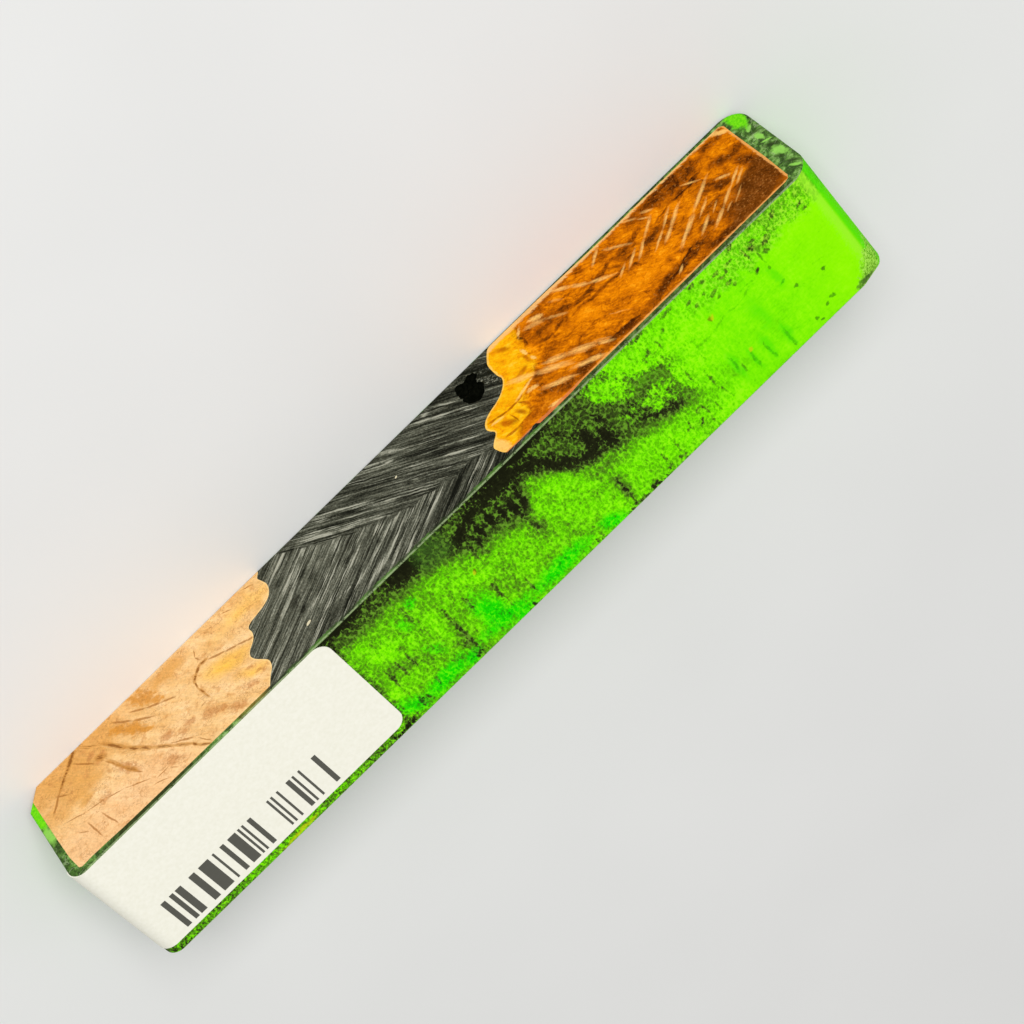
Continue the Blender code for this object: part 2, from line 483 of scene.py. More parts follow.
def burl_sweep_tree():
    group = new_shape_tree(
        "burl_sweep", {"Front": FRONT * MM, "Past": PAST_FACE * MM, "Depth": BURL_DEPTH * MM,
                       "Live from": 0.0, "Live to": 0.0},
    )
    tree = Tree(group)
    given = inputs_of(tree)
    outline = tree.node("GeometryNodeMeshToCurve", {}, {"Mesh": given["Geometry"]})
    start = tree.node("ShaderNodeCombineXYZ", {}, {"Y": given["Front"] - given["Past"]})
    end = tree.node("ShaderNodeCombineXYZ", {}, {"Y": given["Front"] + given["Depth"]})
    line = tree.node("GeometryNodeCurvePrimitiveLine", {}, {"Start": start, "End": end})
    stations = tree.node("GeometryNodeResampleCurve", {}, {"Curve": line, "Count": BURL_STATIONS})
    swept = tree.node(
        "GeometryNodeCurveToMesh", {}, {"Curve": stations, "Profile Curve": outline, "Fill Caps": True}
    )
    place = tree.node("GeometryNodeInputPosition")
    x, y, z = tree.parts(place)
    share = ((y - given["Front"]) / given["Depth"]).at_least(0.0)
    wave = tree.maths("SINE", share * DRIFT_TURNS)
    height = tree.maths("COSINE", z / (DRIFT_HEIGHT * MM))
    drift = wave * height * (DRIFT_WAVE * MM) - share * share * (DRIFT_SLANT * MM)
    on_live_edge = x.above(given["Live from"]) * given["Live to"].above(x)
    shift = tree.node("ShaderNodeCombineXYZ", {}, {"X": drift * on_live_edge})
    moved = tree.node("GeometryNodeSetPosition", {}, {"Geometry": swept, "Offset": shift})
    end_shape_tree(tree, moved, given["Material"])
    return group


def stand_up(item):
    """Turns an outline's own Y up, as the sweep along +Y lays it out upside down."""
    for vert in item.data.vertices:
        vert.co.y = -vert.co.y


def faces_out(item, merge=0.0):
    """Turns all faces outwards, after points closer than a distance are merged."""
    form = bmesh.new()
    form.from_mesh(item.data)
    if merge:
        bmesh.ops.remove_doubles(form, verts=form.verts, dist=merge)
    bmesh.ops.recalc_face_normals(form, faces=form.faces)
    form.to_mesh(item.data)
    form.free()


def burl_block(name, live_edge, rest, live_range, material):
    outline = outline_object(name + "_outline", live_edge, rest)
    stand_up(outline)
    values = {"Front": FRONT * MM, "Past": PAST_FACE * MM, "Depth": BURL_DEPTH * MM,
              "Live from": live_range[0] * MM, "Live to": live_range[1] * MM}
    shaped_by(outline, burl_sweep, values, material)
    block = settled(outline, name + "_block")
    throw_away(outline)
    faces_out(block)
    return block


burl_sweep = burl_sweep_tree()
print("burl sweep:", len(burl_sweep.nodes), "nodes")

# %% [markdown]
# ## Finishes
#
# All finishes work in millimetres on the object's own coordinates, so a mark stays where it is on the
# blank from any side. A mark is a soft ellipse: a Mapping node moves, turns and stretches space so that a
# spherical gradient becomes a stroke. Many strokes joined by their maximum make one layer, and noise
# breaks their edges. In the lists below a stroke is its start, its end, its half width in mm and its
# strength.

# %% What the finishes share
SANDED_DEPTH = 4.0
SAWN_DEPTH = 6.0
STROKE_OVERLAP = 1.25
MIDDLE = 0.5
ORIGIN = (0.0, 0.0, 0.0)
STROKE_RIM = 0.12
GRAIN_INTO_FACE = 3.0
LOW_GLOSS = 0.01


def paint(red, green, blue):
    """A colour as read on screen, turned into the linear values that shaders use."""
    parts = [part / 255 for part in (red, green, blue)]
    return tuple(
        part / 12.92 if part <= 0.04045 else ((part + 0.055) / 1.055) ** 2.4 for part in parts
    )


class Finish(Tree):
    """A material and its tree. `loose` is the shaken space that strokes are drawn in."""

    def __init__(self, name, sanded=True):
        self.material = bpy.data.materials.new(name)
        self.material.use_nodes = True
        super().__init__(self.material.node_tree)
        self.shader = self.nodes.nodes["Principled BSDF"]
        own = self.node("ShaderNodeTexCoord", {}, {}, "Object")
        self.place = self.vectors("SCALE", {"Vector": own, "Scale": 1 / MM})
        self.x, self.y, self.z = self.parts(self.place)
        self.loose = self.place
        self.sanded = sanded

    def give(self, **sockets):
        """Sets sockets of the shader: a wire is linked and a number is set on the socket itself."""
        for name, value in sockets.items():
            socket = self.shader.inputs[name.replace("_", " ")]
            if isinstance(value, Wire):
                self.nodes.links.new(value.socket, socket)
            else:
                socket.default_value = value
        print(self.material.name, len(self.nodes.nodes), "nodes")

    def aligned(self, place, size, turn=ORIGIN, centre=ORIGIN):
        """Space measured from a centre, along turned axes, in units of a size."""
        return self.node(
            "ShaderNodeMapping",
            {"vector_type": "TEXTURE"},
            {"Vector": place, "Location": centre, "Rotation": turn, "Scale": size},
        )

    def grain(self, place, scale=1.0, detail=2.0, roughness=0.5, distortion=0.0):
        return self.node(
            "ShaderNodeTexNoise",
            {},
            {"Vector": place, "Scale": scale, "Detail": detail, "Roughness": roughness,
             "Distortion": distortion},
        )

    def cells(self, place):
        """Distance from the middle of scattered cells: dark dots with lighter walls."""
        return self.node("ShaderNodeTexVoronoi", {}, {"Vector": place, "Scale": 1.0}, "Distance")

    def sanded_grain(self, place, angle, along, across, detail=2.0, roughness=0.5):
        """Noise stretched along a direction on the sanded side."""
        turn = (0.0, -math.radians(angle), 0.0)
        space = self.aligned(place, (along, GRAIN_INTO_FACE, across), turn)
        return self.grain(space, 1.0, detail, roughness)

    def warped(self, place, amount, scale, detail=2.0):
        """Space shaken by noise, so that straight strokes turn natural."""
        shake = self.node(
            "ShaderNodeTexNoise", {}, {"Vector": place, "Scale": scale, "Detail": detail}, 1
        )
        centred = self.vectors("SUBTRACT", {0: shake, 1: (MIDDLE,) * 3})
        scaled = self.vectors("SCALE", {"Vector": centred, "Scale": amount})
        return self.vectors("ADD", {0: place, 1: scaled})

    def within(self, value, low, high, from_value=0.0, to_value=1.0):
        """A soft step from one value to another as the input goes from low to high."""
        return self.node(
            "ShaderNodeMapRange",
            {"interpolation_type": "SMOOTHSTEP"},
            {"Value": value, "From Min": low, "From Max": high, "To Min": from_value,
             "To Max": to_value},
        )

    def lines_of(self, grain, width):
        """Thin lines where noise crosses its middle value."""
        return self.within((grain - MIDDLE).size(), width, 0.0)

    def edge_at(self, value, points, value_range, edge_range):
        """An edge that follows a coordinate, as a curve through points."""
        first, last = value_range
        low, high = edge_range
        spots = [((at - first) / (last - first), (edge - low) / (high - low)) for at, edge in points]
        share = self.node(
            "ShaderNodeFloatCurve", {"points": spots}, {"Value": (value - first) / (last - first)}
        )
        return share * (high - low) + low

    def over(self, base, colour, amount):
        """A colour laid over another. Each is a wire, or red, green and blue as read on screen."""
        colours = [
            part if isinstance(part, Wire) else (*paint(*part), 1.0) for part in (base, colour)
        ]
        return self.node(
            "ShaderNodeMix", {"data_type": "RGBA"}, {0: amount, 6: colours[0], 7: colours[1]}, 2
        )

    def layered(self, base, *layers):
        """Colours laid over a base one after the other, each with its amount."""
        for colour, amount in layers:
            base = self.over(base, colour, amount)
        return base

    def shaded(self, colour, amount):
        """A colour made lighter or darker by a factor."""
        return self.vectors("SCALE", {"Vector": colour, "Scale": amount})

    def stops(self, value, stops):
        """A ramp. Each stop is a place and red, green and blue as read on screen."""
        ramp = [(place, paint(*colour)) for place, *colour in stops]
        return self.node("ShaderNodeValToRGB", {"stops": ramp}, {"Fac": value})

    def marks(self, strokes, place=None):
        """The maximum of many strokes: start, end, half width in mm and strength."""
        layer = None
        for x0, a0, x1, a1, half, strength in strokes:
            angle = math.atan2(a1 - a0, x1 - x0)
            length = math.hypot(x1 - x0, a1 - a0) / 2 * STROKE_OVERLAP + half
            x, a = (x0 + x1) / 2, (a0 + a1) / 2
            if self.sanded:
                centre = (x, FRONT + (1 - strength) * SANDED_DEPTH, a)
                turn, size = (0.0, -angle, 0.0), (length, SANDED_DEPTH, half)
            else:
                centre = (x, a, HEIGHT - (1 - strength) * SAWN_DEPTH)
                turn, size = (0.0, 0.0, angle), (length, half, SAWN_DEPTH)
            space = self.aligned(place or self.loose, size, turn, centre)
            mark = self.node(
                "ShaderNodeTexGradient", {"gradient_type": "SPHERICAL"}, {"Vector": space}, 1
            )
            layer = mark if layer is None else layer.at_least(mark)
        return layer

    def spread(self, strokes, low, high, place=None):
        """How strongly strokes show when their borders are smooth."""
        return self.within(self.marks(strokes, place), low, high)

    def drawn(self, strokes, shake, low, high, place=None):
        """How strongly strokes show when noise shakes their borders. Away from them nothing shows."""
        mark = self.marks(strokes, place)
        return self.within(mark + shake, low, high) * self.within(mark, 0.0, STROKE_RIM)

    def relief(self, height, strength, distance):
        """Fine relief in the surface from a height."""
        return self.node(
            "ShaderNodeBump", {}, {"Strength": strength, "Distance": distance * MM, "Height": height}
        )


def lines(points, half, strength):
    """A bent stroke as straight ones from point to point."""
    return [(*start, *end, half, strength) for start, end in zip(points, points[1:])]


# %% [markdown]
# ## The sanded side of the resin
#
# Where the disc crossed the dark resin it left two families of streaks that meet in a chevron. Noise
# stretched along each direction gives the fine streaks, a curve says which family rules where, and the
# broad streaks that the eye picks out are strokes.

# %% Streaks of the chevron
FALLING = -40.0
RISING = 34.0
SCRATCHES_RISE = 40.0
FALLING_LIGHT = [
    (18.3, 0, 12.3, 5.9, 0.35, 0.8), (15.3, 1.3, 11.2, 5.6, 0.7, 0.9), (12.2, 1, 10.3, 2.6, 0.9, 1),
    (10.3, 6.2, 8.4, 7.7, 0.4, 0.8), (9.3, 0, 4.6, 4.8, 0.4, 0.8), (3.4, 7.3, -3.8, 13.3, 0.45, 0.8),
    (0, 0.3, -4, 4.3, 0.45, 0.8), (-4, 4.3, -12.5, 10.6, 0.4, 0.8), (-2.7, 0.4, -14, 10, 0.35, 0.5),
    (-8.8, 0.5, -12.5, 4.5, 0.35, 0.9), (-10.8, 0.4, -12.7, 2.3, 0.3, 0.8),
    (-15.4, 4.2, -17.9, 6.8, 0.45, 0.95), (-8.2, 0.7, -7.4, 1.5, 0.8, 0.9), (11.6, 0.2, 4, 7.2, 0.3, 0.6),
    *lines([(13.7, 1.7), (11.6, 3.9), (9.7, 5.9), (6.7, 8.6), (4.5, 10.8)], 0.5, 0.85),
    *lines([(10.3, 2.6), (8.2, 4.2), (5.3, 6.8), (4, 8.3)], 0.45, 0.8),
    *lines([(8, 4.2), (4.5, 7.4), (1, 10.4), (-3, 13.7)], 0.75, 1),
    *lines([(2.3, 6), (-2.5, 10.1), (-6.5, 13), (-10, 15.4)], 0.6, 1),
    *lines([(6, 0.1), (1, 4.8), (-5.5, 9.9), (-11.7, 14.6)], 0.5, 0.8),
    *lines([(3, 0), (-3.5, 6.2), (-8, 10), (-11.9, 12.5)], 0.5, 0.75),
    *lines([(-5.7, 0.3), (-8, 2.7), (-10.5, 4.8), (-13.5, 7.5)], 0.5, 0.95),
]
RISING_LIGHT = [
    (21.3, 3.8, 17, 1.1, 0.8, 0.9), (22, 8.4, 18.5, 5.3, 0.45, 0.8), (17, 9, 12.7, 5.9, 0.45, 0.8),
    (15, 5.2, 13.7, 4.5, 0.4, 0.9), (12.8, 8.6, 11, 7.2, 0.9, 0.9), (11.9, 9.6, 9.3, 7.3, 0.45, 0.8),
    (17, 13.2, 12, 9.7, 0.5, 0.8), (11.5, 11.3, 7.5, 8.9, 0.5, 0.9), (17.5, 15.9, 13, 15.9, 0.25, 0.7),
    (13, 18.5, 8, 16.5, 0.8, 0.9), (8.3, 18.8, 5.5, 16.3, 0.6, 0.9), (5.9, 11.1, 6.8, 11.5, 0.8, 0.8),
    (5, 13, 1.3, 11.1, 0.5, 0.9), (-5.8, 19.2, -10.4, 16.1, 0.35, 0.8), (-8, 18.8, -10.8, 17.3, 0.35, 0.8),
    (5, 19, -3.5, 14.2, 0.35, 0.8),
    *lines([(20.5, 8), (16.3, 4.9), (15.2, 3.5)], 0.7, 1),
    *lines([(20.5, 14.3), (17, 12), (12.8, 9)], 0.7, 1),
    *lines([(22, 18.7), (18.5, 16), (15.5, 14.6), (11.7, 12.3)], 0.8, 0.9),
    *lines([(17, 19.2), (14, 16.9), (10, 15.2), (7.5, 13.8), (4, 11.5), (2.5, 10.1)], 0.6, 1),
    *lines([(8, 17), (4.5, 14.6), (1, 13.1), (-0.3, 12)], 0.55, 0.9),
    *lines([(6, 18.8), (3, 16.8), (0, 14.8), (-2.5, 13.4)], 0.9, 0.95),
    *lines([(-4.5, 19.2), (-7, 17), (-9.6, 15.7)], 0.6, 1),
]
CHEVRON_DARK = [
    (12.3, 2.8, 9.5, 5.3, 0.9, 0.9), (7.5, 2.5, 5, 4.8, 0.8, 0.8), (-4.5, 8, -8.5, 10.8, 1, 1),
    (-8, 12.3, -11, 14.2, 0.8, 0.9), (-0.2, 8.8, -0.8, 9.2, 0.8, 0.8), (-10.8, 3.3, -12.3, 4.6, 0.6, 0.8),
    (9, 16, 5, 13.6, 0.7, 0.9), (8, 17.6, 5.5, 15.6, 0.6, 0.9), (12, 18.9, 9, 18.1, 0.8, 1),
    (10.4, 9.8, 9.6, 9.2, 1.2, 0.9), (12.5, 11.7, 11.9, 11.3, 0.7, 0.8), (20.9, 10.5, 20.1, 9.9, 1, 0.9),
    (20.6, 12.6, 20, 12.2, 0.9, 0.8), (21, 5.2, 20.4, 4.8, 0.9, 0.8), (17.9, 7.4, 17.1, 7, 0.9, 0.8),
    (17.1, 9.2, 16.5, 8.8, 0.8, 0.8), (14.6, 7.2, 13.8, 6.8, 0.8, 0.8), (17.2, 2.2, 16.4, 1.8, 0.8, 0.8),
    (-1, 17.8, -6, 15.6, 1.1, 1), (1, 18.9, -3.5, 16.3, 0.9, 1), (7.7, 13.2, 7.3, 13, 0.6, 0.7),
    (9.1, 11, 8.7, 10.8, 0.5, 0.7), (21.5, 18.8, 16, 16.9, 0.9, 1), (17, 18.6, 14.6, 17.2, 0.7, 0.9),
]
PALE_SPECKS = [(20.7, 15.1, 21.1, 15.3, 0.3, 1), (0.35, 6.25, 0.45, 6.35, 0.2, 0.9)]
PIT_RIM = [(-15.6, 2.2, -17.6, 6, 1.7, 0.9), (-13, 1, -17, 1.2, 0.5, 0.8)]
END_VIVID = [(63.8, 2.1, 63.8, 7.5, 1.1, 1), (-63, 0.5, -63, 4, 1.7, 1), (63.7, 0.2, 63.7, 1.6, 1, 0.7)]
END_LIGHT = [
    (63.8, 7.8, 63.8, 11, 1, 1), (-63.2, 5.4, -62.9, 5.8, 0.6, 0.9), (-63, 7.8, -63.2, 9, 0.6, 0.8),
    (-63, 12, -63.5, 14.2, 0.9, 0.9), (-62.4, 9.4, -64, 10.2, 0.25, 0.9),
    (-62.4, 16.6, -63.6, 18.2, 0.4, 0.8),
]
END_DARK = [
    (63.8, 11.2, 63.8, 14, 1.2, 0.5), (63.3, 4.6, 63.3, 5.4, 0.3, 0.8), (63.3, 8.2, 63.3, 8.8, 0.3, 0.8),
    (-62.4, 10.4, -63.9, 11.8, 0.5, 1), (-62.2, 6.6, -64, 7.2, 0.35, 0.8),
    (-62.4, 15.4, -63.9, 17.2, 0.35, 0.9), (-62.2, 13.4, -63, 14.6, 0.4, 0.8),
]


# %% [markdown]
# The grey comes from one value that says how light the streaks are. It could be an image, but noise and
# strokes stay sharp at any size and need no file. The green skin at the end and around the wood is noise
# read in space that is itself shaken, which turns it to marble.

# %% The chevron in grey
CHEVRON_HEIGHT = 13.06
CHEVRON_FALL = 0.26
CHEVRON_BEND = 0.078
CHEVRON_SAG = 0.0193


def streaks(finish, angle):
    """Noise drawn out along one way of the disc: broad bands, fine lines and a few scored ones."""
    broad = finish.sanded_grain(finish.loose, angle, 13.0, 0.8, 2.0, 0.6)
    fine = finish.sanded_grain(finish.loose, angle, 7.0, 0.2, 3.0, 0.7)
    scored = finish.lines_of(finish.sanded_grain(finish.loose, angle, 16.0, 0.5, 1.0), 0.04)
    return (broad - MIDDLE) * 0.95 + (fine - MIDDLE) * 1.9 + scored * 0.26


def chevron_tone(finish, hairs, grit):
    """How light the grey is, and the streaks alone for the relief."""
    x, z = finish.x, finish.z
    wander = finish.grain(finish.place, 0.45, 2.0)
    towards_pale = x.at_least(0.0)
    border = CHEVRON_HEIGHT - CHEVRON_FALL * x - CHEVRON_BEND * towards_pale
    border = border - CHEVRON_SAG * towards_pale * towards_pale
    falls = finish.within(border + (wander - MIDDLE) * 3.0 - z, -0.25, 0.25)
    falling = streaks(finish, FALLING)
    rising = streaks(finish, RISING)
    base = rising + (falling - rising) * falls
    falling_light = finish.marks(FALLING_LIGHT) * falls
    rising_light = finish.marks(RISING_LIGHT) * (1 - falls)
    light = falling_light.at_least(rising_light)
    glow = finish.within(light, 0.0, 0.5)
    score = finish.within(light + base * 0.5, 0.5, 0.85)
    dark = finish.drawn(CHEVRON_DARK, base * 0.5, 0.05, 0.7)
    tone = 0.32 + base + glow * (0.08 + base * 0.7) + score * 0.22 - dark * 0.2
    tone = tone + finish.within(x, 0.0, 8.0) * (1 - falls) * 0.13 - finish.within(x, 0.0, -6.0) * 0.05
    tone = tone + (hairs - MIDDLE) * 0.8 + (grit - MIDDLE) * 0.5
    return tone, base


def chevron_grey(finish, tone, hairs):
    """The grey of the dark resin, with green along its long edges."""
    grey = finish.stops(
        tone,
        [(0, 18, 19, 13), (0.25, 49, 50, 40), (0.5, 84, 85, 72), (0.75, 122, 123, 107),
         (1, 172, 171, 154)],
    )
    beside_bubble = finish.spread(PIT_RIM, 0.0, 0.4) * finish.within(hairs, 0.6, 0.46)
    specks = finish.spread(PALE_SPECKS, 0.1, 0.35)
    height = finish.z + (hairs - MIDDLE) * 1.2
    at_edge = finish.within(height, 18.9, 19.1).at_least(finish.within(height, 0.3, 0.1))
    greener = finish.within(finish.grain(finish.place, 0.3), 0.45, 0.6)
    edge_green = finish.over((38, 50, 26), (80, 122, 48), greener)
    return finish.layered(
        grey,
        ((22, 24, 14), beside_bubble * 0.9),
        ((216, 206, 172), specks),
        (edge_green, at_edge * 0.8),
    )


# %% The sanded resin
def green_skin(finish, hairs, grit):
    """The marbled green of the end and of the thin resin around the wood."""
    x, z = finish.x, finish.z
    marble = finish.warped(finish.place, 1.6, 0.6, 3.0)
    mottle = finish.grain(marble, 0.9, 4.0, 0.65)
    skin = finish.stops(
        mottle + (grit - MIDDLE) * 0.3,
        [(0.3, 34, 52, 22), (0.44, 64, 92, 42), (0.55, 96, 140, 60), (0.7, 150, 190, 108)],
    )
    veins = finish.lines_of(finish.grain(marble, 0.7, 1.0), 0.025)
    contour = finish.within((x + 62.3).size(), 1.2, 0.6) * finish.within(mottle, 0.55, 0.45)
    dark = finish.drawn(END_DARK, (mottle - MIDDLE) * 1.5, 0.0, 0.8)
    pale = finish.drawn(END_LIGHT, (mottle - MIDDLE) * 1.2, 0.05, 0.6)
    vivid = finish.drawn(END_VIVID, (mottle - MIDDLE) * 1.2, 0.1, 0.5)
    vivid_green = finish.stops(hairs, [(0.35, 84, 196, 12), (0.6, 122, 224, 26)])
    on_ridge = finish.within(z, 18.3, 18.6)
    ridge_dark = finish.within(x, 38.0, 46.0) * finish.within(x, 55.0, 60.0, 1.0, 0.0)
    far_dark = finish.within(x, -19.0, -21.0) * finish.within(x, -63.0, -59.0) * 0.6
    low_dark = finish.within(z, 0.6, 0.3) * (1 - vivid)
    gold = on_ridge * finish.within(x, 37.0, 33.0) * finish.within(x, 29.0, 30.0)
    return finish.layered(
        skin,
        ((160, 184, 132), veins * 0.5),
        ((52, 78, 34), contour * 0.6),
        ((44, 54, 28), dark * 0.7),
        ((146, 212, 88), pale * 0.85),
        (vivid_green, vivid),
        ((46, 50, 24), ridge_dark.at_least(far_dark) * on_ridge * 0.9),
        ((36, 48, 24), low_dark * 0.8),
        ((118, 98, 40), gold * 0.8),
    )


def sanded_resin():
    finish = Finish("sanded_resin")
    finish.loose = finish.warped(finish.place, 0.25, 0.6)
    hairs = finish.grain(finish.place, 2.6, 3.0, 0.7)
    grit = finish.grain(finish.place, 6.0, 2.0, 0.7)
    tone, base = chevron_tone(finish, hairs, grit)
    grey = chevron_grey(finish, tone, hairs)
    skin = green_skin(finish, hairs, grit)
    beside_wood = finish.within(finish.x, 29.5, 31.5).at_least(finish.within(finish.x, -19.2, -20.4))
    # Painted highlight: a pale line along the broken ridge edge, where it catches the light.
    broken_edge_highlight = finish.within(finish.z, HEIGHT - 0.2, HEIGHT - 0.1) * finish.within(hairs, 0.35, 0.5)
    finish.give(
        Base_Color=finish.layered(grey, (skin, beside_wood), ((150, 168, 122), broken_edge_highlight * 0.7)),
        Roughness=finish.within(tone, 0.0, 1.0, 0.42, 0.58),
        Specular_IOR_Level=LOW_GLOSS,
        Normal=finish.relief(base * 0.7 + hairs * 0.3, 0.35, 0.12),
    )
    return finish.material


resin_sanded_material = sanded_resin()

# %% [markdown]
# ## The green resin
#
# The sawn side is vivid green with a dark cloud of black resin that drifted through it before it set. The
# saw left fine marks across the bar, which break the green into small upright dashes. One value says how
# much green shows: the cloud, drawn as an outline and strokes, lowers it, and the dashes shake it, so the
# cloud frays as the real one does. A ramp turns the value into colour.

# %% The cloud and the marks of the sawn side
CLOUD_FROM, CLOUD_TO = -40.0, 24.0
CLOUD_LOW, CLOUD_HIGH = -12.0, 8.0
CLOUD_EDGE = (
    (-40, -12), (-37, -11.5), (-36.2, 2.5), (-34.5, 4.1), (-32, 4.1), (-29.5, 3.2), (-27, 2.4), (-24, 1.6),
    (-21, 0.6), (-18.5, -0.3), (-16.5, -1.4), (-14.5, -2.6), (-13, -3.6), (-11, -4.6), (-9.8, -3.2),
    (-8, -1.2), (-5.5, -1.6), (-3, -2.2), (0.5, -3.6), (3, -5), (6, -5.8), (10, -6.3), (16, -6.2),
    (21, -6.4), (24, -6.4),
)
CLOUD_CORE = [
    *lines([(1, -6.4), (-1.5, -7.6), (-4.5, -8.6)], 1.5, 0.9),
    (-3.5, -8.5, -12.5, -8.3, 2.6, 1), (-4.5, -10, -16.5, -10, 1.9, 1), (9.6, -9.2, 7, -8.8, 2.6, 1),
    (-0.2, -6, -0.2, -1, 0.55, 0.8), (-1.3, -7, -1.3, -0.8, 0.5, 0.75), (-2.6, -7, -2.6, -3, 0.6, 0.8),
    (-4.5, -7.5, -4.5, -4, 0.6, 0.85), (-6.1, -7.5, -6.2, -2.8, 0.7, 0.9), (-7.8, -7, -7.9, -1, 0.8, 0.95),
    (-8, 0.1, -8, 1.2, 0.7, 0.75), (-9.2, -7.5, -9.1, -2, 0.8, 0.9),
    *lines([(-11.8, -7.8), (-14.2, -6.2), (-15.4, -4.2), (-17.4, -2), (-20.8, -0.7)], 1.7, 0.95),
    (-20.2, -5.4, -20.7, -1.2, 1.9, 0.75), (-22.3, -3, -22.8, 0.6, 1.6, 0.95),
    (-16.5, -8.5, -19, -6.5, 1.4, 0.35), (-22.8, -6.5, -23.4, -3.5, 1.3, 0.5),
    (-27.2, -1.4, -29.2, 2.2, 1.1, 1), (-26.6, -2.6, -28.2, -1, 1.8, 0.45), (-29, 1.6, -32.4, 3, 1.6, 0.65),
    (21, -10, 14, -10.2, 1.6, 0.75), (-2, -5.5, -8.5, -4.5, 1.8, 0.4), (19.5, -8.6, 5, -8.6, 3, 0.24),
]
BRIGHT_PATCHES = [
    (-29.2, -9.4, -33.5, -6.4, 3.2, 1), (-33, -8, -38.5, -5.6, 3.2, 1),
    (-24.6, -9.6, -27.5, -5.2, 2.6, 0.5), (-11, -6, -12, -4.4, 0.9, 0.4),
    (-34.6, -2.8, -35.2, 2.4, 1.6, 0.55), (-30.4, -2, -32.6, -0.6, 1.8, 0.36),
    (-25.8, -1.5, -33, 0.5, 3.6, 0.3),
]
CLOUD_HAZE = [
    (-51, -8, -53.6, -5.8, 1.5, 0.8), (-8, -1.5, -8.5, 3, 2, 0.7), (-38, 2, -41, 7, 1.8, 0.35),
    (20.8, -2, 20.8, 8, 1.2, 0.6), (19, 0.5, 14, 3.5, 2.4, 0.5), (8.4, 0, 8.2, 9, 1.5, 0.7),
    (-19.5, 3.5, -19.6, 9.5, 1.4, 0.8), (-16.5, 0.5, -24.5, 3, 2.2, 0.6), (1, 2, -3, 9, 2.2, 0.4),
    (-33, 5, -37.5, 7, 2.4, 0.35),
]
SAW_DASHES = [
    (18.5, 1, 18.5, 5, 0.4, 0.9), (16.8, 0.5, 16.8, 4, 0.35, 0.8), (15.2, -1, 15.2, 3, 0.35, 0.8),
    (14.8, 6.8, 14.8, 8.6, 0.4, 0.9), (18.2, 7.5, 18, 9.5, 0.4, 0.8), (17, 8, 16.8, 9.2, 0.35, 0.7),
    (11.5, -5, 11.5, -2, 0.4, 0.8), (8, -0.5, 8, 9.5, 0.45, 0.95), (8.2, 6.2, 8.8, 6.8, 0.9, 0.9),
    (5, 1, 5, 4, 0.4, 0.8), (1.2, 2, 1.2, 7, 0.4, 0.8), (-2.4, 6, -2.4, 8.4, 0.35, 0.8),
    (-19.5, 3, -19.5, 9.5, 0.45, 0.8), (-28.2, 5, -28.2, 9.8, 0.3, 0.8), (-26, 6.5, -26, 9.4, 0.3, 0.7),
    (-31.2, 5.5, -31.2, 8, 0.3, 0.7), (-34, 5, -34, 9, 0.35, 0.7), (-35.6, 6.5, -35.6, 8.6, 0.3, 0.8),
    (-43.1, 4.5, -43.1, 7.5, 0.3, 0.95), (-45.2, 5.2, -45.3, 8.7, 0.3, 0.95),
    (-48.3, 5, -48.3, 9.5, 0.32, 0.95), (-43.1, 6.9, -43.1, 7.5, 0.35, 1), (-45.4, 7.8, -45.4, 8.5, 0.4, 1),
    (-48.4, 8.6, -48.4, 9.3, 0.4, 1), (-40.6, 3, -40.6, 6, 0.3, 0.8), (-41.3, 5, -41.3, 6.7, 0.3, 0.8),
    (-37.2, 2, -37, 5.5, 0.35, 0.8), (-37.4, 5.5, -37.8, 8, 0.3, 0.6), (-35.2, -1.5, -35.3, 2.5, 0.3, 0.7),
    (-51.9, -6.3, -51.9, -4.2, 0.3, 0.95), (-50.6, -4.2, -50.4, -4, 0.4, 0.8),
    (-51.9, -3.3, -51.9, -2.8, 0.3, 0.9), (-50.6, -8, -50.6, -6, 0.3, 0.6), (-38, -1, -38.4, 0.6, 0.3, 0.6),
    (-35, -7.5, -35, -5.5, 0.3, 0.7), (-32.3, -7, -32.3, -5.8, 0.35, 0.7),
]
GREEN_LEAKS = [
    (-48.3, 5, -48.3, 9, 1, 0.9), (-45.3, 4, -45.4, 8.5, 0.9, 0.8), (-40.6, 2, -40.8, 8, 0.9, 0.7),
    (-43.2, 4, -43.2, 8, 0.7, 0.7), (-47, -1, -47.4, 4, 1.6, 0.5), (-51.8, -3, -52, 1, 0.8, 0.7),
]
EMERALD_PLACES = [
    (3.8, 3.5, 3.2, 8.5, 2.8, 0.95), (6.5, 8, -1, 8.2, 1.7, 0.95), (16, 8.6, 11, 8.2, 2.4, 1),
    (10, 9.2, 9, 8.8, 1.6, 0.9), (-3, 8.6, -11, 8.2, 2.2, 0.9), (-14.8, 8.6, -16.5, 9.4, 1.8, 0.9),
    (20, 7, 18, 9, 2, 0.7), (-1, 9.4, 2, 9.4, 1.4, 0.8), (13, -4, 12, -1.5, 1.6, 0.35),
    (10.5, -5, 10, -4.6, 1.2, 0.5), (12.5, 2.5, 11.5, 5, 1.6, 0.4),
]
